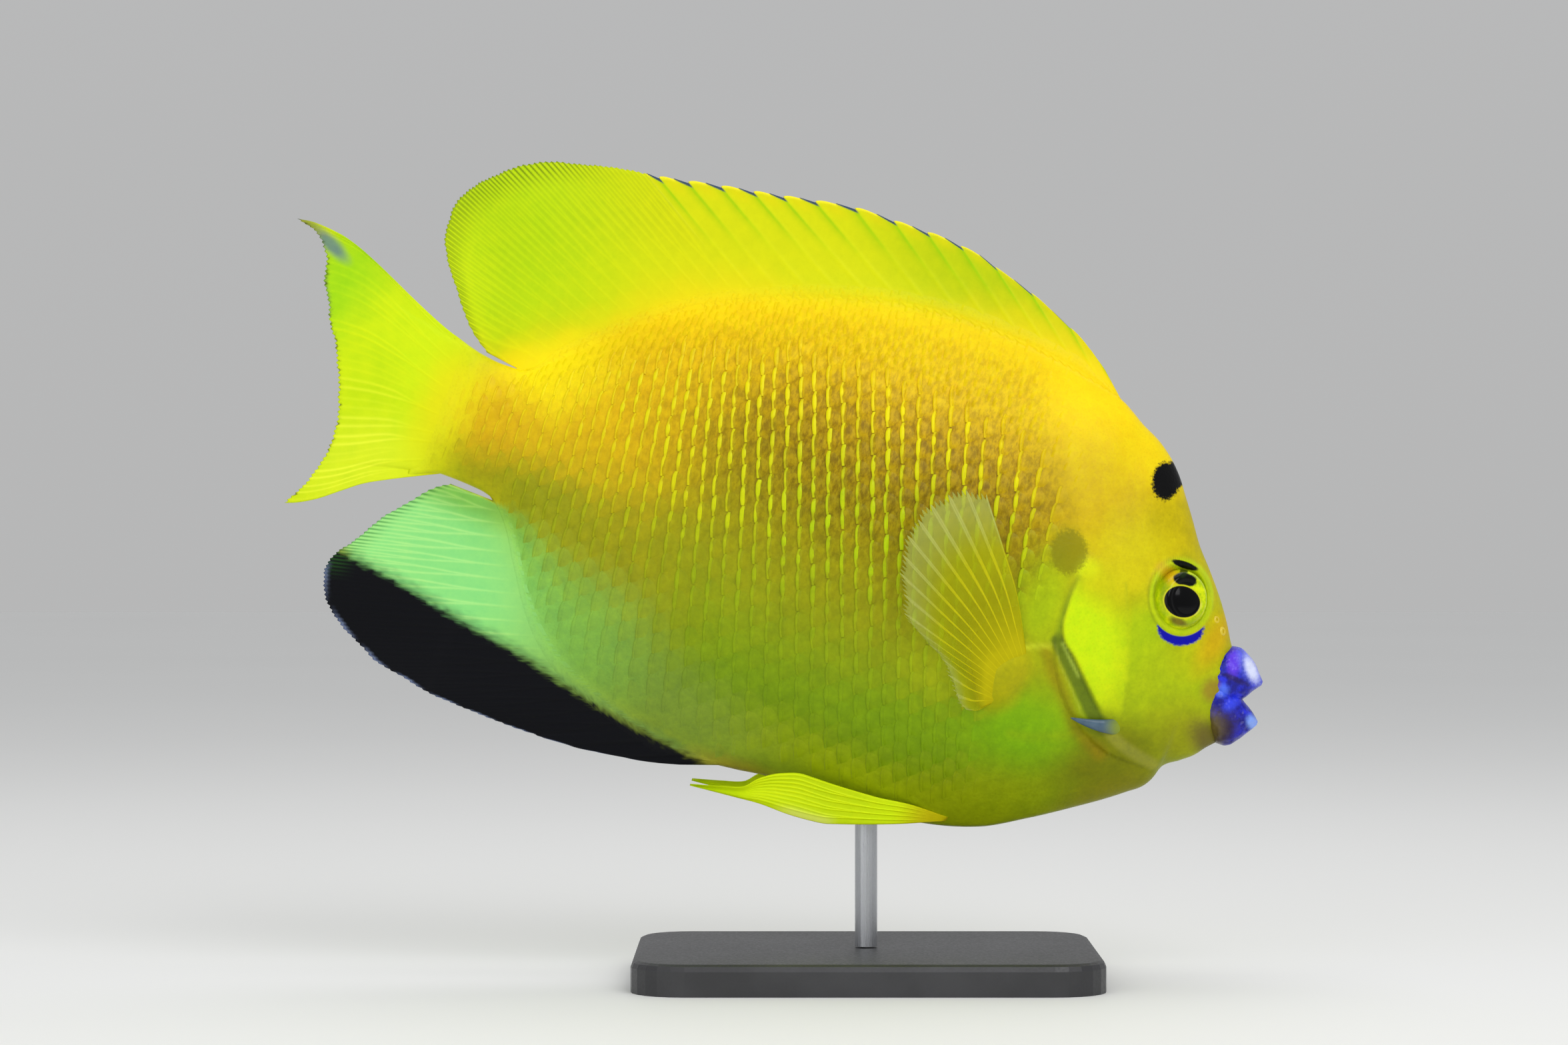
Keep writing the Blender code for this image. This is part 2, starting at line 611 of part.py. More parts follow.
def fin_grid(base, margin, first, last, base_at, margin_at, rays, spines=0):
    """Places on a fin's side view, and the ridge there, ray by ray from root to margin.

    Every second line lies on a ray and the lines between lie on the membrane.
    """
    lines = 2 * rays - 1
    grid = np.empty((lines, FIN_ROWS + 1, 2))
    ridge = np.zeros((lines, FIN_ROWS + 1))
    corners = base(0), base(1), margin(0), margin(1)
    for i in range(lines):
        u = i / (lines - 1)
        ray = i / 2
        base_share, margin_share = base_at(ray), margin_at(ray)
        on_ray = i % 2 == 0
        hard = ray < spines
        for j in range(FIN_ROWS + 1):
            r = j / FIN_ROWS
            edges = (1 - u) * first(r) + u * last(r)
            ends = (1 - r) * base(base_share) + r * margin(margin_share)
            patch = (1 - r) * ((1 - u) * corners[0] + u * corners[1])
            patch = patch + r * ((1 - u) * corners[2] + u * corners[3])
            grid[i, j] = edges + ends - patch
            if on_ray:
                ridge[i, j] = (SPINE_HEIGHT if hard else RAY_HEIGHT) * min(1, RIDGE_RISE * r)
        run = grid[i, -1] - grid[i, -2]
        run /= np.linalg.norm(run)
        if 0 < i < lines - 1:
            reach = (-SCALLOP if on_ray else SCALLOP) if hard else (FRAY if on_ray else -FRAY)
            grid[i, -1] += run * reach
    return grid, ridge


def even_shares(rays):
    return lambda ray: ray / (rays - 1)


def straight(start, end):
    start, end = np.array(start, float), np.array(end, float)
    return lambda t: start + (end - start) * t


def ray_places(keys, base, margin):
    """Where each ray starts on the base and ends on the margin, as functions of its number."""
    base_at = profile([(ray, place_on(base, root)) for ray, root, _ in keys])
    margin_at = profile([(ray, place_on(margin, tip)) for ray, _, tip in keys])
    return base_at, margin_at


def median_fin(name, base_points, margin_points, keys, spines, parts, finish, pose):
    """A fin on the middle line of the body, standing GAP off the edge that it grows from."""
    base, margin = path(base_points), path(margin_points)
    base_at, margin_at = ray_places(keys, base, margin)
    first = straight(base(0), margin(0))
    last = straight(base(1), margin(1))
    rays = keys[-1][0] + 1
    grid, ridge = fin_grid(base, margin, first, last, base_at, margin_at, rays, spines)
    near = np.empty((*grid.shape[:2], 3))
    for i in range(grid.shape[0]):
        s, h = grid[i, 0]
        root = back_edge(s) if h > 0 else belly_edge(s)
        for j in range(grid.shape[1]):
            r = j / FIN_ROWS
            ray_ridge = ridge[i, j] * (1 - RIDGE_FALL * r)
            half = FIN_EDGE + (root - FIN_EDGE) * (1 - r) ** FIN_ROOT_FALL + ray_ridge
            near[i, j] = *grid[i, j], -half
    return add_object(name, closed_sheet(near, near * (1, 1, -1)), parts, finish, pose)


def base_line(edge, start, end, way, count=40):
    """The body's edge from start to end, moved GAP away from the body."""
    places = np.linspace(start, end, count)
    line = np.array([[s, edge(s)] for s in places])
    run = np.gradient(line, axis=0)
    out = np.stack([-run[:, 1], run[:, 0]], axis=1) * way
    return line + out * GAP / np.linalg.norm(out, axis=1, keepdims=True)


def build_caudal_fin(parts, pose):
    top, bottom = CAUDAL_UPPER_EDGE[0], CAUDAL_LOWER_EDGE[0]
    base, margin = straight(top, bottom), path(CAUDAL_MARGIN)
    first, last = path(CAUDAL_UPPER_EDGE), path(CAUDAL_LOWER_EDGE)
    shares = even_shares(CAUDAL_RAYS)
    grid, ridge = fin_grid(base, margin, first, last, shares, shares, CAUDAL_RAYS)
    near = np.empty((*grid.shape[:2], 3))
    for i in range(grid.shape[0]):
        root = half_width(BODY_END, grid[i, 0][1])
        for j in range(grid.shape[1]):
            r = j / FIN_ROWS
            ray_ridge = ridge[i, j] * (1 - CAUDAL_RIDGE_FALL * r)
            half = FIN_EDGE + (root - FIN_EDGE) * (1 - r) ** CAUDAL_ROOT_FALL + ray_ridge
            near[i, j] = *grid[i, j], -half
    add_object("caudal_fin", closed_sheet(near, near * (1, 1, -1)), parts, "fin", pose)


def pectoral_mesh(side, grow=0.0):
    """A fan that springs from the lobe and stands out from the flank towards its tips."""
    base, margin = path(PECTORAL_ROOT), path(PECTORAL_MARGIN)
    first, last = path(PECTORAL_TRAILING_EDGE), path(PECTORAL_LEADING_EDGE)
    shares = even_shares(PECTORAL_RAYS)
    grid, ridge = fin_grid(base, margin, first, last, shares, shares, PECTORAL_RAYS)
    lines, rows = grid.shape[:2]
    near = np.empty((lines, rows, 3))
    far = near.copy()
    for i in range(lines):
        root_out = half_width(*grid[i, 0]) + PECTORAL_ROOT_OUT
        edge_grow = grow * (2 * i / (lines - 1) - 1) * (i in (0, lines - 1))
        for j in range(rows):
            r = j / FIN_ROWS
            s, h = grid[i, j]
            s -= edge_grow * 0.5
            h += edge_grow
            s -= grow * (j == 0)
            out = root_out + PECTORAL_SPREAD * np.linalg.norm(grid[i, j] - grid[i, 0])
            swell = PECTORAL_ROOT_SWELL * (1 - r) ** 2
            half = PECTORAL_EDGE + swell + ridge[i, j] * PAIRED_FIN_RIDGE + grow
            near[i, j] = s, h, side * (out + half)
            far[i, j] = s, h, side * (out - half)
    return closed_sheet(near, far)


def pelvic_mesh(side, grow=0.0):
    """A long narrow fin swept back under the belly."""
    upper, lower = path(PELVIC_UPPER_EDGE), path(PELVIC_LOWER_EDGE)
    out_at = profile(PELVIC_OUT)
    lines, rows = 2 * PELVIC_RAYS - 1, PELVIC_ROWS + 1
    near = np.empty((lines, rows, 3))
    far = near.copy()
    for i in range(lines):
        share = i / (lines - 1)
        for j in range(rows):
            r = j / PELVIC_ROWS
            s, h = lower(r) * (1 - share) + upper(r) * share
            h += grow * (2 * share - 1) * (i in (0, lines - 1))
            s -= grow * (j == 0)
            out = out_at(s) + PELVIC_LEAN * share
            rise = (i % 2 == 0) * min(1, RIDGE_RISE * r) * (1 - RIDGE_FALL * r)
            ridge = RAY_HEIGHT * PAIRED_FIN_RIDGE * rise
            half = PELVIC_EDGE + PELVIC_ROOT_SWELL * (1 - r) ** 2 + ridge + grow
            near[i, j] = s, h, side * (out + half)
            far[i, j] = s, h, side * (out - half)
    return closed_sheet(near, far)


def build_fins(parts, pose):
    dorsal_base = base_line(back, *[DORSAL_RAYS[k][1][0] for k in (0, -1)], 1)
    median_fin("dorsal_fin", dorsal_base, DORSAL_MARGIN, DORSAL_RAYS, DORSAL_SPINES, parts, "fin", pose)
    anal_base = base_line(belly, *[ANAL_RAYS[k][1][0] for k in (0, -1)], -1)
    median_fin("anal_fin", anal_base, ANAL_MARGIN, ANAL_RAYS, ANAL_SPINES, parts, "anal_fin", pose)
    build_caudal_fin(parts, pose)
    for side, name in ((-1, "right"), (1, "left")):
        add_object("pectoral_fin_" + name, pectoral_mesh(side), parts, "fin", pose)
        add_object("pelvic_fin_" + name, pelvic_mesh(side), parts, "fin", pose)


def build_torso(torso, cutters, pose):
    """Adds the fleshy lobes of the pectoral fins, then the slots of the paired fins."""
    for side in (-1, 1):
        frame = surface_frame(*LOBE_AT, side) @ Matrix.Rotation(math.radians(-LOBE_TILT * side), 4, "Z")
        add_ball("lobe", LOBE_RADII, frame, cutters, parent=pose, segments=16, rings=10)
    boolean(torso, cutters, "UNION")
    keep_largest(torso)
    for side in (-1, 1):
        cutter_look(add_object("pectoral_room", pectoral_mesh(side, GAP), cutters, parent=pose))
        cutter_look(add_object("pelvic_room", pelvic_mesh(side, GAP), cutters, parent=pose))


# The display stand

def rod_place(pose):
    """The place on the belly that the rod meets."""
    return pose.matrix_world @ fish_point(ROD_S, belly(ROD_S), 0)


def rod_mesh(top, bottom, at, radius):
    bm = bmesh.new()
    depth = top - bottom
    bmesh.ops.create_cone(
        bm, segments=24, cap_ends=True, radius1=radius * MM, radius2=radius * MM, depth=depth,
    )
    bmesh.ops.translate(bm, vec=(at.x, 0, bottom + depth / 2), verts=bm.verts)
    return bm


def build_stand(torso, parts, cutters, pose):
    meet = rod_place(pose)
    rod_top = meet.z + ROD_SINK * MM
    base_top = BASE_SIZE[2] * MM
    room = rod_mesh(rod_top + GAP * MM, base_top, meet, ROD_RADIUS + GAP)
    cutter_look(add_object("rod_room", room, cutters))
    boolean(torso, cutters, "DIFFERENCE")
    keep_largest(torso)
    rod = rod_mesh(rod_top, base_top + GAP * MM, meet, ROD_RADIUS)
    add_object("stand_rod", rod, parts, "rod")
    bm = bmesh.new()
    bmesh.ops.create_cube(bm, size=1)
    bmesh.ops.scale(bm, vec=[size * MM for size in BASE_SIZE], verts=bm.verts)
    bmesh.ops.translate(bm, vec=(meet.x, 0, base_top / 2), verts=bm.verts)
    upright = [edge for edge in bm.edges if abs(edge.verts[0].co.z - edge.verts[1].co.z) > 0.5 * base_top]
    bmesh.ops.bevel(
        bm, geom=upright, offset=BASE_CORNER * MM, affect="EDGES", segments=6, profile=0.5, material=-1,
    )
    rim = [edge for edge in bm.edges if min(vert.co.z for vert in edge.verts) > 0.9 * base_top]
    bmesh.ops.bevel(
        bm, geom=rim, offset=BASE_EDGE * MM, affect="EDGES", segments=2, profile=0.5, material=-1,
    )
    add_object("stand_base", bm, parts, "stand")


def build():
    clear_scene()
    parts = new_collection("flagfin_angelfish")
    cutters = new_collection("cutters")
    cutters.hide_render = True
    pose = bpy.data.objects.new("fish_pose", None)
    pose.location = (SNOUT_X * MM, 0, SNOUT_Z * MM)
    pose.rotation_euler = (0, math.radians(NOSE_DOWN), 0)
    parts.objects.link(pose)
    bpy.context.view_layer.update()
    bodies = part_body(parts, cutters, pose)
    build_head(bodies["head"], parts, cutters, pose)
    build_torso(bodies["torso"], cutters, pose)
    build_stand(bodies["torso"], parts, cutters, pose)
    build_fins(parts, pose)


build()
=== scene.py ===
import math

import bmesh
import bpy
import numpy as np
from mathutils import Matrix, Vector


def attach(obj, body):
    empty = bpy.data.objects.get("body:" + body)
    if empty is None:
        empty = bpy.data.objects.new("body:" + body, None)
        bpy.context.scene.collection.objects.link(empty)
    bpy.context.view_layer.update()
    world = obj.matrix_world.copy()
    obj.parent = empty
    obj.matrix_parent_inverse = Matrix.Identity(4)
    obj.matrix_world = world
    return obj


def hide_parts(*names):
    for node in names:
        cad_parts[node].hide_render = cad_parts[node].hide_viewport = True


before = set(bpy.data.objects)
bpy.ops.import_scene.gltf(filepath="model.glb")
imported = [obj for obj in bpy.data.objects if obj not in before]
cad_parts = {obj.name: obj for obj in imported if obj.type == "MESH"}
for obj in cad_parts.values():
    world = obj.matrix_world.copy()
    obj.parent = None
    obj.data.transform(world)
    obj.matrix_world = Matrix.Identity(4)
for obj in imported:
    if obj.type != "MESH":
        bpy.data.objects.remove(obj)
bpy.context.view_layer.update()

# Named sizes of the fish, in millimetres: s runs back from the snout, h up, y to its left

MM = 0.001
SIDES = [(-1, "right"), (1, "left")]
NOSE_DOWN = math.radians(19.0)
SNOUT_X, SNOUT_Z = 110.0, 66.0
COS, SIN = math.cos(NOSE_DOWN), math.sin(NOSE_DOWN)
VIEW_X, VIEW_Z, VIEW_AWAY = 2.45, 102.6, 980.0

BACK = [
    (5.5, 2.2), (7.5, 4.0), (9.3, 6.1), (12, 10.6), (15, 15.0), (19.5, 20.6), (23.5, 25.2),
    (27, 30.3), (30, 34.5), (33, 38.6), (36.5, 42.1), (40, 44.6), (44, 46.6), (50, 50.0), (60, 52.5),
    (75, 54.8), (90, 55.6), (105, 54.2), (120, 50.5), (135, 45.0), (150, 37.5), (160, 30.2),
    (168, 23.2), (174, 17.5), (178.3, 13.7), (181, 12.8), (185, 12.7), (190, 13.3), (198, 15.6),
]
BELLY = [
    (5.5, -15.4), (7.5, -17.5), (9.3, -19.8), (12, -22.0), (15.6, -24.9), (16.6, -28.0), (18, -30.2),
    (21, -32.6), (25, -35.6), (30, -39.0), (40, -45.4), (50, -50.9), (60, -53.8), (72, -55.6),
    (85, -56.2), (98, -55.6), (108, -56.6), (120, -56.0), (130, -53.8), (140, -50.6), (150, -46.2),
    (158, -40.0), (164, -32.5), (168, -26.0), (172, -20.4), (176.5, -17.0), (181, -15.7),
    (190, -15.2), (198, -18.6),
]
HALF_GIRTH = [
    (5.5, 2.9), (7.5, 4.3), (9.3, 5.6), (11, 6.8), (13, 7.8), (18, 9.7), (25, 11.8), (35, 14.0),
    (45, 15.6), (55, 16.8), (70, 17.6), (85, 17.8), (100, 17.2), (120, 14.9), (140, 11.6),
    (160, 7.9), (172, 5.8), (180, 4.6), (190, 3.8), (198, 2.4),
]
KEEL = [(9.3, 0.5), (20, 0.56), (40, 0.66), (70, 0.74), (190, 0.74)]
BACK_EDGE = [(9.3, 1.2), (30, 1.2), (50, 1.7), (90, 2.1), (150, 1.7), (178, 1.3), (190, 1.2)]
BELLY_EDGE = [(9.3, 1.2), (40, 0.9), (100, 0.9), (112, 1.4), (150, 1.8), (178, 1.3), (190, 1.2)]
DORSAL_REACH, ANAL_REACH = (50.6, 178.0), (109.0, 176.6)
TAIL_ROOT, TAIL_SLEEVE = 190.0, 7.5
TAIL_THICKENS = (196, 210)
SKIN_START, SKIN_END = 5.6, TAIL_ROOT + TAIL_SLEEVE
SKIN_DEPTH = 0.12
MOTTLE_END, MOTTLE_FADE = 192, 6
SLEEVE = 5.0
DORSAL_SLEEVE = [
    (48.0, 0.0), (50.6, 0.2), (54, 1.3), (58, 3.1), (64, SLEEVE), (173, SLEEVE), (177.5, 1.2), (180, 0.0),
]
ANAL_SLEEVE = [
    (107.0, 0.0), (109, 0.2), (112, 0.6), (115, 1.3), (119, 2.6), (126, SLEEVE), (168, SLEEVE),
    (175.0, 1.4), (178, 0.0),
]

EYE_AT = (24.2, 12.2)
PUPIL_AT = (23.1, 11.9)
ORBIT_AT, ORBIT_REACH, ORBIT_TURN = (23.6, 12.9), (7.4, 8.8), -19.0
LOBE_AT, LOBE_RADII, LOBE_TILT = (55.6, -16.6), (5.4, 9.6, 2.1), 12.0
COVER_RIM = [
    (45.0, 17.0), (46.6, 12.4), (47.4, 5.0), (47.3, 0.0), (45.6, -5.0), (42.0, -8.0), (39.0, -11.0),
    (35.4, -14.6), (31.6, -18.2),
]
GILL_OUTER = [
    (48.4, 4.0), (48.2, -1.0), (47.2, -6.0), (45.0, -12.0), (42.0, -16.4), (38.0, -20.4), (33.0, -23.8),
    (27.0, -25.9), (20.0, -26.2), (13.0, -24.6),
]
PREOPERCLE = [
    (37.2, 16.0), (35.6, 12.0), (33.5, 7.0), (31.5, 0.0), (30.0, -5.0), (28.8, -10.0), (28.0, -16.0),
]
NOSTRILS = [(12.6, 8.6, 0.62), (14.9, 10.6, 0.5)]
NOSTRIL_PROFILE = [
    (0.0, -0.8), (1.9, -0.25), (1.5, 0.12), (1.1, 0.26), (0.75, 0.16), (0.6, -0.2), (0.0, -0.35),
]
EYE_PROFILE = [
    (0.0, 2.6), (1.2, 2.55), (2.4, 2.4), (3.3, 2.2), (3.8, 2.1), (4.05, 2.25), (4.4, 2.46), (4.9, 2.44),
    (5.4, 2.16), (5.9, 1.66), (6.3, 1.0), (6.6, 0.2), (6.8, -0.8), (6.8, -1.8), (6.2, -3.2),
    (4.4, -4.6), (0.0, -5.4),
]
EYE_SCALE = (0.95, 1.02, 1.0)

# Rays that are named here: (ray number, its root, its tip)

DORSAL_RAYS = [
    (0, (50.6, 50.2), (57.0, 56.1)), (2, (61, 52.7), (78.5, 67.0)), (4, (75, 54.8), (97, 71.4)),
    (6, (90, 55.6), (113, 71.8)), (8, (104, 54.3), (131, 70.3)), (10, (117, 51.4), (145, 68.1)),
    (13, (135, 45), (166, 64.2)), (17, (148, 38.6), (186, 60.3)), (20, (157, 32.5), (199, 53.8)),
    (23, (163.5, 27.2), (206, 46)), (26, (169, 22.2), (206, 34.0)), (29, (176, 16.2), (196.4, 20.0)),
    (30, (181.5, 12.8), (189.3, 14.0)),
]
DORSAL_MARGIN = [
    (57.0, 56.1), (65, 61.2), (72, 64.3), (78.75, 67.0), (85, 68.8), (92.5, 71.0), (102.5, 72.0),
    (120, 72.0), (127.5, 71.0), (140, 68.7), (152.5, 66.6), (165, 64.2), (175, 63.0), (181, 61.6),
    (190, 59.3), (195, 56.9), (199, 53.8), (203.7, 49.2), (206, 46.0), (207.3, 41.5), (207, 36.5),
    (205, 31.5), (201, 26.0), (197, 20.6), (192.5, 16.2), (189.3, 14.0),
]
DORSAL_SPINES = 14

ANAL_RAYS = [
    (0, (109, -56.6), (118, -59.6)), (1, (116, -56.4), (131, -62.1)), (2, (123, -55.5), (144, -63.7)),
    (3, (130, -53.8), (156, -63.8)), (6, (143, -49.5), (178, -62.4)), (9, (153, -44.1), (196, -57.0)),
    (12, (160.5, -37.1), (206.5, -48.5)), (15, (166, -29.3), (205.5, -38.1)),
    (18, (171.5, -21.0), (197.0, -25.8)), (20, (176.6, -17.4), (187.3, -16.6)),
]
ANAL_MARGIN = [
    (118, -59.6), (125, -61.3), (135, -62.8), (144, -63.7), (155, -63.9), (165, -63.5), (175, -62.9),
    (185, -61.0), (190, -60.0), (195, -57.6), (200, -55.0), (205, -51.0), (207, -47.5), (208, -44.0),
    (207, -40.0), (204, -36.0), (200, -29.3), (196, -24.6), (193, -21.0), (190, -18.1), (187.3, -16.6),
]
ANAL_SPINES = 3
BAND_TOP = [
    (96, -60.0), (106, -58.4), (115, -57.1), (120, -56.4), (130, -54.9), (140, -53), (150, -50.6),
    (160, -47.8), (170, -46.0), (180, -43.8), (190, -41.6), (202, -39.5), (212, -37.5),
]

CAUDAL_RAYS = 17
CAUDAL_UPPER_EDGE = [
    (190.3, 13.3), (195, 14.6), (200, 16.3), (205, 18.4), (210, 20.7), (215, 23.1), (220, 25.4),
    (225, 27.4), (229, 28.5), (235.5, 29.1), (239.5, 28.6),
]
CAUDAL_LOWER_EDGE = [
    (190.3, -15.2), (195, -17.4), (201, -20.3), (206, -23.0), (210, -26.0), (215, -29.8),
    (219.5, -32.2), (221.3, -32.8),
]
CAUDAL_MARGIN = [
    (239.5, 28.6), (235, 27.3), (232.5, 25.3), (230.5, 22.2), (229.5, 18.0), (227.0, 13.4),
    (225.0, 9.0), (222.4, 5.0), (220.2, 0.2), (218.2, -5.0), (216.6, -10.5), (216, -16.0),
    (216.6, -21.0), (218.0, -26.0), (221.3, -32.8),
]

PECTORAL_RAYS = 16
PECTORAL_ROOT = [(57.8, -24.2), (59.3, -20.5), (59.4, -16.0), (57.6, -12.2), (54.2, -8.8)]
PECTORAL_MARGIN = [
    (62.4, -26.6), (64.6, -25.4), (68, -20.8), (71.5, -17.2), (77, -14.2), (82.3, -10.6),
    (84.2, -6.0), (86.4, -1.0), (87.2, 5.0), (86.4, 10.6), (83.6, 15.0), (79.6, 18.6), (73.8, 20.0),
]
PECTORAL_LEADING_EDGE = [(54.2, -8.8), (60.4, 2.2), (66.6, 10.6), (73.8, 20.0)]
PECTORAL_TRAILING_EDGE = [(57.8, -24.2), (59.8, -26.0), (62.4, -26.6)]
PECTORAL_SPREAD = 0.29

PELVIC_RAYS = 6
PELVIC_UPPER_EDGE = [
    (59.6, -50.9), (65, -50.8), (75, -51.7), (85, -52.0), (91, -52.0), (96, -53.4), (100.5, -56.2),
    (103, -58.9), (108, -60.5), (114.4, -62.2),
]
PELVIC_LOWER_EDGE = [
    (59.9, -53.0), (65, -55.0), (70, -56.8), (75, -58.5), (80, -60.1), (84, -61.2), (92, -61.7),
    (98, -61.5), (104, -61.9), (114.4, -62.7),
]
PELVIC_OUT = [(59, 1.9), (63, 3.5), (68, 5.6), (75, 7.0), (90, 8.4), (114.5, 9.4)]
PELVIC_LEAN = 0.8

FIN_EDGE = 0.26
FIN_THINS_OVER = 6.5
TIP_END = 0.38
SUNK_ROWS = 3
SPINE_RIDGE, RAY_RIDGE = 0.12, 0.075
COLUMNS_PER_RAY, PECTORAL_COLUMNS = 16, 24

UPPER_LIP = [
    (11.6, 3.0, -5.6, 5.6), (10.2, 5.2, -6.3, 6.1), (9.0, 6.2, -6.6, 6.2), (7.4, 6.4, -6.6, 6.1),
    (5.4, 5.6, -6.0, 5.6), (4.0, 4.8, -5.2, 5.1), (3.0, 4.0, -4.2, 4.6), (1.6, 2.4, -1.9, 3.5),
    (0.2, 0.9, -0.2, 1.4),
]
LOWER_JAW = [
    (11.6, -3.4, -8.4, 5.4), (10.2, -2.5, -11.0, 6.0), (9.0, -2.3, -12.6, 6.1), (7.4, -2.4, -14.2, 5.9),
    (5.4, -2.9, -15.7, 5.5), (4.0, -3.7, -15.7, 5.1), (2.8, -4.7, -15.2, 4.7), (1.0, -5.8, -13.1, 3.9),
    (-0.5, -6.9, -10.9, 2.6), (-1.7, -8.0, -9.0, 1.0),
]
SPINE_ROOT, SPINE_TIP = (27.2, -18.9), (39.4, -20.7)

# A patch of colour: name, middle s and h, half length, half height, turn, softness, colour, strength

BODY_GROUND = [
    (-58, (146, 168, 14)), (-48, (134, 158, 14)), (-42, (116, 148, 14)), (-36, (118, 152, 14)),
    (-28, (130, 157, 14)), (-14, (152, 160, 12)), (0, (168, 162, 10)), (14, (188, 168, 8)),
    (28, (216, 184, 6)), (40, (254, 219, 6)), (56, (254, 222, 8)),
]
FIN_GROUND = (212, 218, 8)
FIN_PATCHES = [
    ("front of the dorsal fin", 76, 62, 34, 11, 10, 0.6, (184, 203, 4), 1.0),
    ("rear of the dorsal fin", 196, 40, 26, 34, 0, 0.7, (178, 218, 8), 0.9),
    ("tail fin", 212, 0, 20, 36, 0, 0.5, (208, 234, 12), 1.0),
    ("outer tail fin", 228, 16, 8, 20, 28, 0.8, (156, 218, 20), 0.85),
    ("lower tail fin", 208, -20, 14, 10, -30, 0.6, (224, 238, 44), 0.7),
]
PATCHES = [
    ("nape", 58, 44, 30, 15, 15, 0.6, (250, 217, 8), 0.95),
    ("shoulder", 48, 28, 17, 13, 0, 0.7, (204, 178, 12), 0.8),
    ("rear back", 146, 30, 20, 12, -35, 0.8, (255, 218, 8), 0.85),
    ("rear flank", 162, 6, 24, 18, -20, 0.7, (238, 196, 10), 0.8),
    ("tail stalk top", 175, 12, 18, 8, -36, 0.7, (255, 232, 10), 1.0),
    ("tail stalk", 181, -1, 8.5, 9, 0, 0.6, (218, 176, 16), 0.8),
    ("root of the tail", 194, 0, 6, 13, 0, 0.8, (232, 222, 12), 0.7),
    ("rear belly", 148, -20, 22, 12, 40, 0.8, (158, 152, 12), 0.7),
    # painted shade: the body is darker and greener just above the root of the anal fin
    ("painted shade above the anal fin", 168, -13.2, 16, 6.2, 7, 0.9, (142, 152, 16), 0.85),
    ("belly edge", 85, -52, 34, 9, 0, 0.8, (156, 176, 12), 0.7),
    ("breast", 58, -33, 26, 7, -8, 0.8, (122, 160, 8), 0.9),
    ("low breast", 50, -45, 20, 8, -24, 0.7, (144, 162, 12), 0.85),
    ("forehead", 27, 27, 12, 18, 35, 0.6, (190, 176, 6), 0.95),
    ("brow", 36, 42, 10, 7, 0, 0.7, (240, 212, 10), 0.7),
    ("face", 23, -8, 22, 21, 0, 0.5, (166, 190, 14), 0.95),
    ("snout top", 15, 8, 7, 9, 0, 0.8, (186, 188, 10), 0.85),
    ("snout tint", 13.0, 6.5, 2.6, 7, 10, 0.8, (216, 164, 18), 0.6),
    ("cheek behind the eye", 30, 2, 5, 17, 20, 0.7, (166, 196, 12), 0.8),
    ("chin", 12, -16, 8, 7, 0, 0.8, (146, 146, 18), 0.7),
    ("behind the eye", 36, 17, 10, 8, 0, 0.7, (212, 202, 14), 0.8),
    ("behind the gills", 53, 2, 6, 12, 0, 0.8, (164, 198, 12), 0.75),
    ("throat", 27, -27, 13, 9, -26, 0.6, (114, 118, 10), 0.9),
    ("green of the chest", 47, -26, 11, 8, -15, 0.7, (122, 178, 8), 0.8),
    ("behind the fin lobe", 67, -19, 9, 7, 0, 0.8, (166, 182, 12), 0.7),
    # a painted highlight: a small bright spot at the top of the gill cover
    ("painted highlight atop the gill cover", 45.6, 11.8, 2.6, 2.4, 0, 0.8, (216, 234, 20), 0.9),
    ("throat edge", 24, -34, 13, 3, -36, 0.7, (134, 132, 10), 0.7),
    ("fin lobe", 55.6, -16.6, 5.0, 9.0, 12, 0.4, (176, 172, 12), 0.8),
    ("edge before the anal fin", 106, -57, 10, 2.6, 0, 0.8, (205, 150, 20), 0.7),
    ("blue of the tail", 230.4, 25.6, 4.6, 1.5, 26, 0.6, (84, 104, 158), 0.85),
    ("tail tip", 237.5, 28.4, 3.6, 1.3, 14, 0.7, (126, 130, 70), 0.8),
]
ANAL_PATCHES = [
    ("grey green", 132, -46, 34, 10, 16, 0.8, (118, 150, 72), 0.8),
    ("green before the pale part", 153, -42, 16, 17, 20, 0.9, (128, 188, 98), 0.85),
    ("green of the anal fin", 187, -31, 24, 19, 20, 0.5, (136, 204, 104), 1.0),
    ("pale green", 187, -37, 27, 18, 22, 0.62, (146, 228, 150), 1.0),
    ("shade under the stalk", 184, -18.6, 14, 3.4, 4, 0.9, (112, 166, 50), 0.7),
    ("yellow behind the band", 207, -41, 3.6, 2.0, -50, 0.6, (214, 226, 60), 0.7),
]
STALK_AND_ANAL = [
    (100, -24.0), (150, -23.0), (158, -21.0), (166, -19.2), (176, -17.6), (188, -16.9), (195, -20.2),
    (200, -24.8), (206, -30.0), (220, -40.0),
]
COVER_COLOUR, COVER_TOP_COLOUR = (200, 232, 10), (208, 210, 14)
# the ring's shade and groove colours are painted shade round the eye's raised ring
ORBIT_COLOUR, ORBIT_SHADE, ORBIT_CREASE_SHADE = (188, 212, 16), (120, 136, 14), (96, 116, 10)
BAND_COLOUR, BAND_FRINGE = (4, 5, 14), (74, 124, 84)

# A stroke of colour: name, half width, softness, colour, strength, points of its line

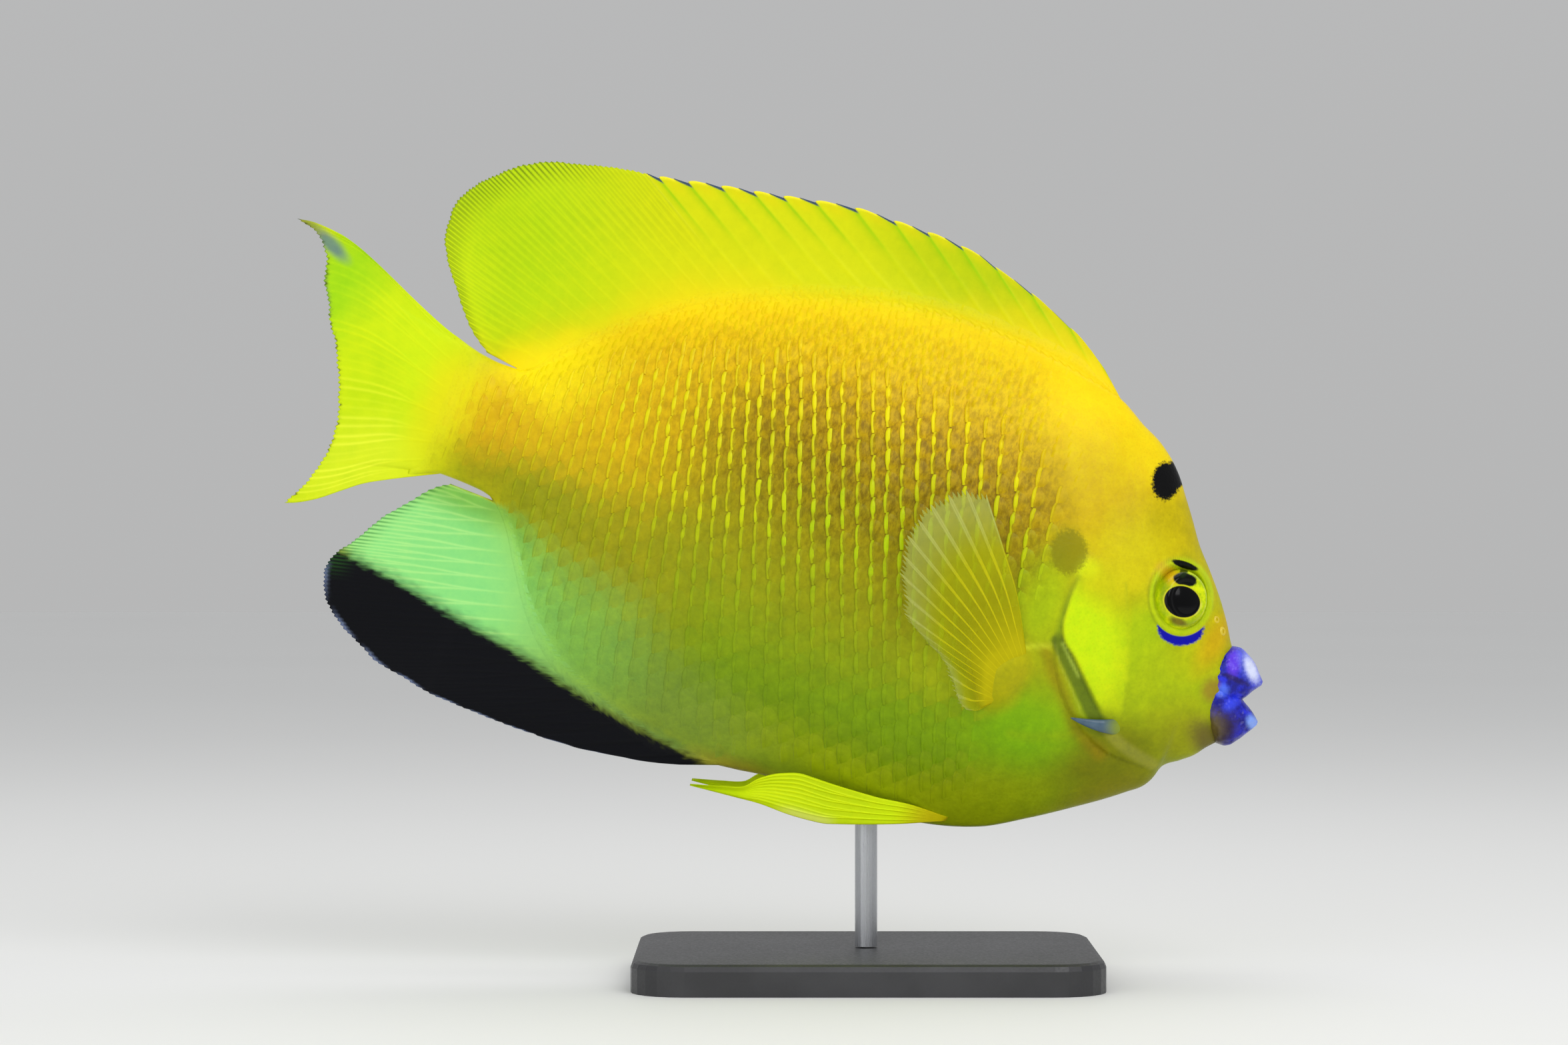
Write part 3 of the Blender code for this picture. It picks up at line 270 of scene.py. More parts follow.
STROKES = [
    # painted shade: a darker green line in the gill opening
    ("painted shade in the gill slit", 0.8, 1.0, (118, 148, 26), 0.75, [(46.4, 9), (46.8, 5.7), (47.2, 0), (47.0, -3.5)]),
    ("shade behind the membrane", 1.5, 1.5, (142, 122, 8), 0.6,
     [(48.4, -8.6), (44.6, -13.4), (40.9, -17.0), (36.4, -22.6), (29.6, -26.4)]),
    ("membrane of the gills", 1.6, 0.6, (92, 114, 32), 0.9,
     [(46.6, -5.6), (43.6, -8.6), (39.9, -12.4), (36.6, -15.8), (33.2, -19.0), (30.5, -20.6)]),
    ("lower membrane", 1.3, 0.7, (148, 152, 70), 0.75,
     [(30.4, -20.4), (28.4, -21.6), (25.4, -23.0), (21, -24.2), (17.5, -24.8)]),
    # a painted highlight along the raised rim of the gill cover, then painted shade as a thin dark line under
    # its edge
    ("painted highlight along the cover's rim", 0.3, 0.4, (172, 196, 96), 0.7,
     [(45.6, -5.6), (42.8, -8.5), (39.6, -11.6)]),
    ("painted shade under the cover's rim", 0.12, 0.3, (84, 104, 20), 0.7,
     [(39.6, -11.2), (36.0, -14.9), (32.0, -18.6)]),
    ("dark rim of the tail", 0.5, 0.6, (96, 112, 96), 0.6,
     [(231.4, 23.0), (229.6, 18.4), (227.4, 14.0), (226.0, 10.5)]),
    ("edge of the membrane", 0.15, 0.3, (176, 186, 90), 0.35,
     [(47.0, -6.4), (44.4, -10.4), (40.8, -14.2), (35.6, -20.0)]),
    # painted highlights: light lines along a fold above the fin lobe and a fold of the chest
    ("painted highlight above the fin lobe", 0.5, 0.6, (216, 226, 60), 0.6, [(48, -7.2), (51, -8.3), (54, -9.6)]),
    ("painted highlight on the chest's fold", 0.9, 1.4, (170, 164, 14), 0.15,
     [(38, -25), (42, -26.6), (46, -28.2), (50, -28.8)]),
    ("line before the gill cover", 0.2, 0.5, (140, 164, 30), 0.5,
     [(36.4, 11.6), (33.6, 4.8), (31.6, -1.5), (29.2, -9), (27.4, -15.6)]),
]

# A small crisp mark: middle, half lengths, turn, softness, colour, strength, unevenness of its edge

SPOTS = [
    ((35.4, 36.4), (3.1, 4.3), -12, 0.13, (3, 3, 4), 1.0, 0.7),
    ((33.9, 38.3), (3.0, 1.9), 49, 0.13, (3, 3, 4), 1.0, 0.5),
    ((50.9, 14.2), (4.2, 5.0), -18, 0.2, (128, 124, 8), 0.76, 0.7),
]
CRESCENT = ((21.5, 6.2), (5.2, 4.0), -16, 0.08, (10, 10, 165), 1.0, 0.3)
FACE_MARKS = [
    ((25.2, 19.9), (3.1, 0.8), 0, 0.15, (6, 10, 5), 1.0, 0.3),
    ((28.2, 17.0), (2.6, 1.4), 20, 0.8, (226, 150, 24), 0.5, 0.2),
    ((7.0, -15.6), (5.2, 3.4), 24, 0.6, (92, 72, 40), 0.75, 0.4),
    ((10.2, -4.6), (2.3, 2.6), 0, 0.6, (150, 110, 40), 0.7, 0.4),
]
LIP_COLOURS_AND_HIGHLIGHT = [
    ((5.6, -12.4), (3.8, 4.6), 20, 0.6, (40, 20, 40), 0.92, 0.4),
    ((9.6, -14.6), (4.2, 5.4), 24, 0.5, (110, 96, 30), 0.85, 0.3),
    ((7.6, 2.6), (1.5, 3.0), -14, 0.5, (104, 58, 235), 0.8, 0.5),
    ((6.0, -0.7), (3.4, 0.6), 4, 0.5, (30, 12, 70), 0.7, 0.5),
    # the two pale marks on the front of the upper lip are a painted highlight
    ((3.6, 3.4), (4.4, 2.3), 44, 0.6, (120, 134, 255), 0.7, 0.6),
    ((3.4, 2.6), (2.9, 1.2), 50, 0.6, (226, 232, 255), 0.9, 0.6),
    ((8.2, -4.0), (1.5, 1.4), 0, 0.6, (84, 120, 255), 0.8, 0.5),
    ((5.2, -6.4), (1.2, 2.0), 30, 0.6, (60, 80, 250), 0.6, 0.5),
    ((-0.8, -8.6), (1.3, 1.7), -40, 0.6, (140, 176, 255), 0.85, 0.4),
    ((10.6, -3.2), (1.6, 1.2), 0, 0.5, (120, 60, 50), 0.8, 0.3),
]
EYE_MARKS = [
    ((27.6, 13.4), (1.3, 5.0), -16, 0.6, (120, 140, 10), 0.6, 0.2),
    ((19.2, 9.4), (1.6, 4.0), -10, 0.7, (120, 146, 10), 0.5, 0.2),
    ((27.2, 16.8), (2.4, 1.8), 30, 0.7, (222, 150, 20), 0.6, 0.2),
    ((22.5, 7.4), (2.1, 0.9), 0, 0.6, (96, 66, 20), 0.85, 0.3),
    ((24.1, 16.8), (2.7, 1.5), -8, 0.12, (5, 8, 4), 1.0, 0.2),
    ((25.0, 18.6), (0.9, 1.6), 0, 0.3, (20, 40, 6), 0.9, 0.2),
    (PUPIL_AT, (4.4, 3.8), 0, 0.04, (206, 206, 30), 1.0, 0.0),
    (PUPIL_AT, (4.1, 3.5), 0, 0.03, (1, 1, 2), 1.0, 0.0),
]
SPINE_MARKS = [
    ((31.5, -18.3), (5, 0.5), -9, 0.5, (44, 56, 170), 0.6, 0.0),
    ((26.0, -19.2), (3.4, 3.4), 0, 0.6, (136, 152, 22), 0.95, 0.0),
]

# The coat's columns and rows, where it ends, and how its places lie in the unwrap

COLUMN_PITCH = [(30, 3.2), (60, 3.3), (100, 3.4), (140, 3.1), (170, 2.7), (195, 2.3)]
BACK_PITCH = [(20, 1.7), (60, 1.9), (190, 1.7)]
ROW_PITCH, BACK_ROW = 4.5, 2.5
LEAN = [
    (40, -6), (50, 2), (60, 11), (70, 15.5), (80, 17.5), (100, 18.5), (125, 15), (145, 8), (165, 3), (195, 0),
]
SCALE_TOP = [
    (44, 24), (60, 33), (75, 38), (90, 41), (110, 41), (130, 36), (150, 28), (165, 18), (180, 10), (192, 6),
]
CONTRAST = [
    (-46, 0), (-30, 0.06), (-15, 0.26), (-5, 0.5), (8, 0.95), (20, 1.08), (30, 0.95), (40, 0.66), (54, 0.42),
]
COAT_END = 194.0
GILL_SIDE = [(-56, 46), (-40, 52), (-26, 56), (-8, 62), (4, 53), (20, 51), (30, 56), (50, 66)]
FLANK_LATTICE = {"start": 24, "end": 206, "bottom": -62, "top": 46, "seed": 5, "unevenness": 0.035}
BACK_LATTICE = {"start": 20, "end": 190, "bottom": -10, "top": 62, "seed": 8, "unevenness": 0.18}
RIM_SEED = 11
RIM_COLOURS = [
    (-40, (132, 176, 14)), (-20, (148, 194, 8)), (0, (176, 208, 4)), (14, (192, 206, 2)),
    (28, (232, 222, 0)), (44, (255, 232, 0)),
]
MAP_START, MAP_WIDE = 0.01, 0.98
MAP_LOW, MAP_TALL = {-1: 0.01, 1: 0.51}, 0.48
COAT_LOW, COAT_LONG, COAT_TALL = -62, 192, 124

# The studio

FLOOR_HALF = 4.0
LENS, SENSOR_WIDTH = 100.0, 36.0
LIGHTS_AIM = (0, 0, 0.1)
LIGHTS = [
    ("key", (0.45, -0.85, 0.75), 0.7, 5.2),
    ("fill", (-0.6, -0.9, 0.3), 0.9, 2.6),
    ("top", (0.0, 0.15, 0.95), 0.7, 2.4),
]


# Curves through named points

def profile(keys):
    """A smooth function through (x, value) keys that never swings past them."""
    x, value = np.array(sorted(keys), float).T
    step = np.diff(x)
    rise = np.diff(value) / step
    slope = np.empty(len(x))
    slope[0], slope[-1] = rise[0], rise[-1]
    before, after = rise[:-1], rise[1:]
    wide, narrow = 2 * step[1:] + step[:-1], step[1:] + 2 * step[:-1]
    same_way = before * after > 0
    safe_before = np.where(same_way, before, 1)
    safe_after = np.where(same_way, after, 1)
    mean = (wide + narrow) / (wide / safe_before + narrow / safe_after)
    slope[1:-1] = np.where(same_way, mean, 0)

    def at(where):
        where = np.clip(where, x[0], x[-1])
        i = np.clip(np.searchsorted(x, where, side="right") - 1, 0, len(x) - 2)
        t = (where - x[i]) / step[i]
        ends = (1 + 2 * t) * (1 - t) ** 2 * value[i] + t * t * (3 - 2 * t) * value[i + 1]
        lean = t * (1 - t) ** 2 * slope[i] - t * t * (1 - t) * slope[i + 1]
        return ends + step[i] * lean

    return at


def path(points):
    """A smooth plane curve through the points, read from 0 at its start to 1 at its end."""
    points = np.array(points, float)
    along = np.concatenate([[0], np.cumsum(np.linalg.norm(np.diff(points, axis=0), axis=1))])
    along /= along[-1]
    first = profile(list(zip(along, points[:, 0])))
    second = profile(list(zip(along, points[:, 1])))
    return lambda t: np.stack([first(t), second(t)], axis=-1)


def straight(start, end):
    start, end = np.array(start, float), np.array(end, float)
    return lambda t: start + (end - start) * np.asarray(t)[..., None]


def place_on(curve, point):
    """How far along the curve its nearest place to the point lies."""
    steps = np.linspace(0, 1, 801)
    return steps[np.argmin(np.linalg.norm(curve(steps) - np.array(point), axis=1))]


def ramp(value, start, end):
    t = np.clip((value - start) / (end - start), 0, 1)
    return t * t * (3 - 2 * t)


def hill(value, width):
    return np.exp(-(value / width) ** 2)


def ripple(s, h, size, turn=0.0):
    """A smooth uneven field between about -1 and 1, with waves of the given size."""
    total = 0.0
    for k, (angle, stretch) in enumerate(((0.3, 1.0), (1.5, 1.31), (2.4, 0.77), (2.9, 1.73), (0.9, 2.1))):
        angle += turn
        across = s * math.cos(angle) + h * math.sin(angle)
        total = total + np.sin(across * stretch * math.tau / size + 1.7 * k + 2.3 * np.sin(across / size + k))
    return total / 3.2


def line_field(points, s, h, samples=48):
    """For each place: how far along the line it is, and its distance, more than 0 behind a falling line."""
    line = path(points)(np.linspace(0, 1, samples + 1))
    start, run = line[:-1], np.diff(line, axis=0)
    spot = np.stack([np.ravel(s), np.ravel(h)], axis=-1)
    nearest = np.full(len(spot), 1e9)
    along = np.zeros(len(spot))
    sign = np.ones(len(spot))
    for k in range(samples):
        off = spot - start[k]
        t = np.clip(off @ run[k] / (run[k] @ run[k]), 0, 1)
        gap = off - t[:, None] * run[k]
        distance = np.hypot(gap[:, 0], gap[:, 1])
        closer = distance < nearest
        nearest = np.where(closer, distance, nearest)
        along = np.where(closer, (k + t) / samples, along)
        turn = run[k][0] * off[:, 1] - run[k][1] * off[:, 0]
        sign = np.where(closer, np.where(turn < 0, -1.0, 1.0), sign)
    return along.reshape(np.shape(s)), (nearest * sign).reshape(np.shape(s))


# The body's surface as a half thickness over its side view

back, belly, half_girth = profile(BACK), profile(BELLY), profile(HALF_GIRTH)
keel, back_edge, belly_edge = profile(KEEL), profile(BACK_EDGE), profile(BELLY_EDGE)
band_top, stalk_and_anal = profile(BAND_TOP), profile(STALK_AND_ANAL)
dorsal_sleeve, anal_sleeve = profile(DORSAL_SLEEVE), profile(ANAL_SLEEVE)
column_pitch, back_pitch, column_lean = profile(COLUMN_PITCH), profile(BACK_PITCH), profile(LEAN)
scale_top, gill_side, pattern = profile(SCALE_TOP), profile(GILL_SIDE), profile(CONTRAST)


def share_along(s, reach, fade=3.0):
    """1 where a fin rises from the body, falling to 0 past either end of its root."""
    return ramp(s, reach[0] - fade, reach[0] + 1) * (1 - ramp(s, reach[1] - 1, reach[1] + fade))


def inset(s, h):
    """How far a place lies inside the body's outline in side view."""
    return np.minimum(h - belly(s), back(s) - h)


def lined_up(s, h, out):
    """Where a place of the skin shows on the flat side view, since what is nearer to the eye looks larger."""
    near = 1 + out / VIEW_AWAY
    x = (SNOUT_X - s * COS + h * SIN - VIEW_X) * near + VIEW_X - SNOUT_X
    z = (SNOUT_Z + s * SIN + h * COS - VIEW_Z) * near + VIEW_Z - SNOUT_Z
    return z * SIN - x * COS, x * SIN + z * COS


def in_ellipse(s, h, at, reach, turn):
    """A place in the axes of a turned ellipse, as shares of its half lengths."""
    turn = math.radians(turn)
    ds, dh = s - at[0], h - at[1]
    across = (ds * math.cos(turn) + dh * math.sin(turn)) / reach[0]
    upward = (-ds * math.sin(turn) + dh * math.cos(turn)) / reach[1]
    return across, upward


def orbit_radius(s, h):
    """Distance from the eye's middle, 1 on the outer edge of the fleshy ring round it."""
    return np.hypot(*in_ellipse(s, h, ORBIT_AT, ORBIT_REACH, ORBIT_TURN))


def relief(s, h):
    """What rises from the plain body and sinks into it: orbit, gill cover, folds and the fin's lobe."""
    ring = orbit_radius(s, h)
    out = 0.8 * ramp(-ring, -1.1, -0.88) - 3.0 * (1 - ramp(ring, 0.62, 0.84))
    along, off = line_field(COVER_RIM, s, h)
    window = ramp(along, 0.1, 0.5) * (1 - ramp(along, 0.92, 1.0))
    cover = np.where(off < 0, 0.7 * np.exp(np.minimum(off, 0) / 4), -0.25 * np.exp(-np.maximum(off, 0) / 0.9))
    out = out + window * cover * (1 - ramp(off, 3, 6)) * ramp(off, -14, -9)
    upper = ramp(along, 0.0, 0.12) * (1 - ramp(along, 0.3, 0.5))
    fold = 0.25 * ramp(off, -8, 0) - 0.4 * ramp(off, -0.3, 2.0)
    out = out + upper * fold * (1 - ramp(off, 2.0, 6)) * (off > -9)
    along, off = line_field(GILL_OUTER, s, h)
    window = ramp(along, 0.05, 0.25) * (1 - ramp(along, 0.7, 0.95))
    flap = np.where(off < 0, 0.3 * np.exp(np.minimum(off, 0) / 2), -0.5 * np.exp(-np.maximum(off, 0) / 1.6))
    out = out + window * flap * (1 - ramp(np.abs(off), 3, 8))
    along, off = line_field(PREOPERCLE, s, h)
    window = ramp(along, 0.0, 0.3) * (1 - ramp(along, 0.85, 1.0))
    out = out + window * (0.14 * hill(off - 0.9, 1.4) - 0.14 * hill(off + 0.2, 0.6))
    across, upward = in_ellipse(s, h, LOBE_AT, LOBE_RADII, LOBE_TILT)
    return out + LOBE_RADII[2] * np.clip(1 - across ** 2 - upward ** 2, 0, 1) ** 1.5


def half_width(s, h, detail=True):
    """Half the thickness of the body, and beyond its edges of the root of the fins."""
    low, high = belly(s), back(s)
    up = np.clip((h - low) / (high - low), 0, 1)
    round_part = half_girth(s) * (4 * up * (1 - up)) ** keel(s)
    top = h > (low + high) / 2
    edge = np.where(top, back_edge(s), belly_edge(s))
    finned = np.where(top, share_along(s, DORSAL_REACH), share_along(s, ANAL_REACH))
    inside = np.where(top, high - h, h - low)
    cap = np.sqrt(1 - (1 - np.clip(inside / edge, 0, 1)) ** 2)
    thinning = FIN_EDGE + (edge - FIN_EDGE) * np.exp(-np.clip(-inside, 0, None) / FIN_THINS_OVER)
    whole = np.hypot(round_part, finned * thinning + (1 - finned) * edge * cap)
    if not detail:
        return whole
    near_edge = ramp(inside, 0.5, 5.0)
    return whole + relief(*lined_up(s, h, whole)) * near_edge


def skin_side(s, h):
    """The skin lies a little inside the solids, and sinks into the fins beyond the body's edge."""
    low, high = belly(s), back(s)
    sleeve = np.where(h > (low + high) / 2, dorsal_sleeve(s), anal_sleeve(s)) + 0.01
    beyond = np.maximum(np.maximum(low - h, h - high) / sleeve, (s - TAIL_ROOT) / TAIL_SLEEVE)
    sink = SKIN_DEPTH * (1 - 2.0 * ramp(beyond, 0.05, 0.25)) + 0.42 * ramp(beyond, 0.5, 1.0)
    sink = sink + 0.6 * ramp(s, TAIL_ROOT, SKIN_END)
    return np.maximum(half_width(s, h) - sink, 0)


# Colours

def linear(colour):
    value = np.array(colour, float) / 255
    return np.where(value <= 0.04045, value / 12.92, ((value + 0.055) / 1.055) ** 2.4)


def soft_patch(s, h, at_s, at_h, half_s, half_h, turn, soft):
    """1 in a turned ellipse, falling to 0 round its edge."""
    radius = np.hypot(*in_ellipse(s, h, (at_s, at_h), (half_s, half_h), turn))
    return 1 - ramp(radius, 1 - soft, 1 + soft)


def plain(s, colour):
    return np.ones((*np.shape(s), 3)) * linear(colour)


def by_height(keys, h):
    """The colour at each height, from (height, colour) keys."""
    channels = [profile([(at, linear(tint)[channel]) for at, tint in keys])(h) for channel in range(3)]
    return np.stack(channels, axis=-1)


def blend(under, colour, mask):
    return under + (linear(colour) - under) * mask[..., None]


def layered(under, layers):
    """Lays colours over a tint in turn, each with its own mask."""
    for colour, mask in layers:
        under = blend(under, colour, mask)
    return under


def paint(s, h):
    """The fish's colours at a place of its side view, the same for skin, scales and fins, with painted
    highlights and painted shade round the eye, gills, chest and anal fin.
    """
    colour = plain(s, FIN_GROUND)
    for _, *shape, tint, strength in FIN_PATCHES:
        colour = blend(colour, tint, strength * soft_patch(s, h, *shape))
    on_body = ramp(inset(s, h), -5.0, 4.0) * (1 - ramp(s + 0.1 * h, 182, 196))
    colour = colour + (by_height(BODY_GROUND, h) - colour) * on_body[..., None]
    s, h = lined_up(s, h, half_width(s, h, detail=False))
    wander = 1 + 0.05 * ripple(s, h, 9.0)
    for _, at_s, at_h, half_s, half_h, turn, soft, tint, strength in PATCHES:
        mask = soft_patch(s, h, at_s, at_h, half_s * wander, half_h * wander, turn, soft)
        colour = blend(colour, tint, strength * mask)
    soft = 0.4 + 5.0 * (1 - ramp(s, 163, 177))
    on_anal = ramp((stalk_and_anal(s) - h) / soft, -1, 1)
    for _, *shape, tint, strength in ANAL_PATCHES:
        colour = blend(colour, tint, strength * on_anal * soft_patch(s, h, *shape))
    for _, half, soft, tint, strength, points in STROKES:
        _, off = line_field(points, s, h)
        colour = blend(colour, tint, strength * (1 - ramp(np.abs(off), half - soft, half + soft)))
    _, rim = line_field(COVER_RIM, s, h)
    _, front = line_field(PREOPERCLE, s, h)
    cover = 0.45 * ramp(front, -0.8, 0.8) + 0.55 * ramp(front, 0.0, 6.0)
    cover = cover * (1 - ramp(rim, -0.9, 0.1)) * (1 - ramp(h, 10, 18))
    cover = cover * ramp(h, -18, -15) * (0.6 + 0.4 * ramp(h, -17, -7))
    ring = orbit_radius(s, h)
    colour = layered(colour, [
        (COVER_TOP_COLOUR, cover * 0.6),
        (COVER_COLOUR, cover * (1 - ramp(h - 0.3 * (s - 38), 0, 9))),
        # painted shade: a dark line along the ring's outer edge, stronger behind the eye, and another in the
        # groove where the ring falls into the eye's hollow
        (ORBIT_SHADE, 0.5 * hill(ring - 1.0, 0.05) * ramp(s, 20, 29)),
        (ORBIT_COLOUR, (1 - ramp(ring, 0.94, 1.02)) * 0.95),
        (ORBIT_CREASE_SHADE, 0.6 * hill(ring - 0.84, 0.05) * (0.35 + 0.65 * ramp(s, 22, 30))),
    ])
    feather = 0.35 * ripple(0.16 * s, h + 0.32 * s, 1.0) + 0.4 * ripple(s, h, 3.0, 0.8)
    depth = band_top(s) - h + feather
    band = ramp(depth, -1.2, 1.1) * ramp(s, 104, 116)
    fringe = np.clip(ramp(depth, -3.0, -0.2) - band, 0, 1) * ramp(s, 112, 122)
    return layered(colour, [(BAND_FRINGE, 0.6 * fringe), (BAND_COLOUR, band)])


# Meshes

def fish_place(s, h, y):
    """World places, in metres, of places in the fish's frame."""
    s, h, y = np.broadcast_arrays(s, h, y)
    x = SNOUT_X - s * COS + h * SIN
    z = SNOUT_Z + s * SIN + h * COS
    return np.stack([x, y, z], axis=-1) * MM


def store(mesh, name, values):
    if values.ndim > 1 and values.shape[-1] == 3:
        layer = mesh.color_attributes.new(name, "FLOAT_COLOR", "POINT")
        full = np.ones((values.size // 3, 4), np.float32)
        full[:, :3] = values.reshape(-1, 3)
        layer.data.foreach_set("color", full.reshape(-1))
    else:
        layer = mesh.attributes.new(name, "FLOAT", "POINT")
        layer.data.foreach_set("value", np.asarray(values, np.float32).reshape(-1))


def store_map(mesh, u, v):
    """The piece's unwrap, from a place for each vertex."""
    spots = np.stack([u, v], axis=-1).reshape(-1, 2)
    corners = np.empty(len(mesh.loops), np.int32)
    mesh.loops.foreach_get("vertex_index", corners)
    layer = mesh.uv_layers.new(name="OFBake")
    layer.data.foreach_set("uv", spots[corners].astype(np.float32).reshape(-1))


def take_mesh(name, bm):
    """The form of a bmesh as a mesh."""
    mesh = bpy.data.meshes.new(name)
    bm.to_mesh(mesh)
    bm.free()
    return mesh


def join(bm, mesh):
    """Moves a mesh into a bmesh."""
    bm.from_mesh(mesh)
    bpy.data.meshes.remove(mesh)


def add_object(name, data):
    made = bpy.data.objects.new(name, data)
    bpy.context.scene.collection.objects.link(made)
    return made


def show(name, mesh, finish):
    """Puts a piece of the fish into the scene."""
    mesh.shade_smooth()
    mesh.materials.append(finish)
    made = add_object(name, mesh)
    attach(made, "root")
    return made


def face_outward(bm, faces, side):
    """Turns the faces of one side of a sheet so that they look away from the fish."""
    total = sum(face.normal.y * face.calc_area() for face in faces)
    if total * side < 0:
        bmesh.ops.reverse_faces(bm, faces=faces)


def sheet(name, s, h, right, left, finish, values=None):
    """A thin form made of two grids, one for each face, that meet where their places are the same."""
    bm = bmesh.new()
    lines, rows = s.shape
    for side, y in ((-1, right), (1, left)):
        part = bmesh.new()
        bmesh.ops.create_grid(part, x_segments=rows - 1, y_segments=lines - 1, size=1)
        mesh = take_mesh(name + "_side", part)
        mesh.vertices.foreach_set("co", fish_place(s, h, y).reshape(-1))
        for key, value in (values or {}).items():
            store(mesh, key, value)
        u = MAP_START + MAP_WIDE * (s - s.min()) / np.ptp(s)
        v = MAP_LOW[side] + MAP_TALL * (h - h.min()) / np.ptp(h)
        store_map(mesh, u, v)
        known = len(bm.faces)
        join(bm, mesh)
        bm.faces.ensure_lookup_table()
        bm.normal_update()
        face_outward(bm, bm.faces[known:], side)
    bmesh.ops.remove_doubles(bm, verts=bm.verts, dist=0.0005 * MM)
    return show(name, take_mesh(name, bm), finish)


def two_faces(out, half, side):
    """The right and left face of a thin form that stands out from one flank."""
    near, far = (out + half) * side, (out - half) * side
    return (near, far) if side < 0 else (far, near)


def spun(points, samples, steps):
    """A closed round form about its own z axis, from (radius, height) places in millimetres."""
    bm = bmesh.new()
    line = path(points)(np.linspace(0, 1, samples))
    spots = [bm.verts.new((radius * MM, 0, height * MM)) for radius, height in line]
    for a, b in zip(spots, spots[1:]):
        bm.edges.new((a, b))
    bmesh.ops.spin(
        bm, geom=bm.verts[:] + bm.edges[:], cent=(0, 0, 0), axis=(0, 0, 1), angle=math.tau, steps=steps,
        use_merge=True,
    )
    bmesh.ops.remove_doubles(bm, verts=bm.verts, dist=0.001 * MM)
    return bm


# Materials

class Wiring:
    """Adds shader nodes to a tree."""

    def __init__(self, tree):
        self.tree = tree
        self.links = tree.links

    def add(self, kind, settings=None, **inputs):
        """A new node. Its inputs are named by label, with _ for a space, or by i and a number."""
        node = self.tree.nodes.new(kind)
        for key, value in (settings or {}).items():
            setattr(node, key, value)
        for key, value in inputs.items():
            numbered = key[0] == "i" and key[1:].isdigit()
            self.put(node.inputs[int(key[1:]) if numbered else key.replace("_", " ")], value)
        return node

    def put(self, socket, value):
        if isinstance(value, bpy.types.NodeSocket):
            self.links.new(value, socket)
        else:
            socket.default_value = value

    def math(self, operation, first, second=0.0, third=0.0):
        node = self.add("ShaderNodeMath", {"operation": operation}, i0=first, i1=second, i2=third)
        return node.outputs[0]

    def mix(self, factor, first, second, way="MIX"):
        settings = {"data_type": "RGBA", "blend_type": way}
        return self.add("ShaderNodeMix", settings, i0=factor, i6=first, i7=second).outputs[2]

    def spread(self, value, start, end, low=0.0, high=1.0):
        node = self.add(
            "ShaderNodeMapRange", {"interpolation_type": "SMOOTHSTEP"},
            i0=value, i1=start, i2=end, i3=low, i4=high,
        )
        return node.outputs[0]

    def attribute(self, name, output="Fac"):
        return self.add("ShaderNodeAttribute", {"attribute_name": name}).outputs[output]

    def noise(self, scale, detail=3.0, rough=0.5, vector=None):
        node = self.add("ShaderNodeTexNoise", Scale=scale, Detail=detail, Roughness=rough)
        self.put(node.inputs["Vector"], vector or self.place())
        return node.outputs["Fac"]

    def cells(self, scale):
        return self.add("ShaderNodeTexVoronoi", Scale=scale, Vector=self.place()).outputs["Distance"]

    def place(self):
        return self.add("ShaderNodeTexCoord").outputs["Object"]

    def group(self, tree, **inputs):
        node = self.tree.nodes.new("ShaderNodeGroup")
        node.node_tree = tree
        for key, value in inputs.items():
            self.put(node.inputs[key.replace("_", " ")], value)
        return node.outputs[0]


def colour_of(red, green, blue):
    return (*linear((red, green, blue)), 1.0)


def new_group(name, inputs, output, kind):
    tree = bpy.data.node_groups.new(name, "ShaderNodeTree")
    for key, socket in inputs:
        tree.interface.new_socket(key, in_out="INPUT", socket_type=socket)
    tree.interface.new_socket(output, in_out="OUTPUT", socket_type=kind)
    start = tree.nodes.new("NodeGroupInput")
    end = tree.nodes.new("NodeGroupOutput")
    return tree, Wiring(tree), start, end


def make_fish_axes():
    """A group that gives s and h on the flat side view, in millimetres, as X and Y of a vector."""
    tree, wiring, start, end = new_group("fish side view", [], "Side", "NodeSocketVector")
    apart = wiring.add("ShaderNodeSeparateXYZ", Vector=wiring.place())
    out = wiring.math("ABSOLUTE", apart.outputs["Y"])
    near = wiring.math("MULTIPLY_ADD", out, 1 / (VIEW_AWAY * MM), 1.0)
    off_x = wiring.math("SUBTRACT", apart.outputs["X"], VIEW_X * MM)
    off_z = wiring.math("SUBTRACT", apart.outputs["Z"], VIEW_Z * MM)
    x = wiring.math("MULTIPLY_ADD", wiring.math("MULTIPLY", off_x, near), 1 / MM, VIEW_X - SNOUT_X)
    z = wiring.math("MULTIPLY_ADD", wiring.math("MULTIPLY", off_z, near), 1 / MM, VIEW_Z - SNOUT_Z)
    s = wiring.math("SUBTRACT", wiring.math("MULTIPLY", z, SIN), wiring.math("MULTIPLY", x, COS))
    h = wiring.math("ADD", wiring.math("MULTIPLY", x, SIN), wiring.math("MULTIPLY", z, COS))
    joined = wiring.add("ShaderNodeCombineXYZ", X=s, Y=h)
    wiring.links.new(joined.outputs[0], end.inputs[0])
    return tree


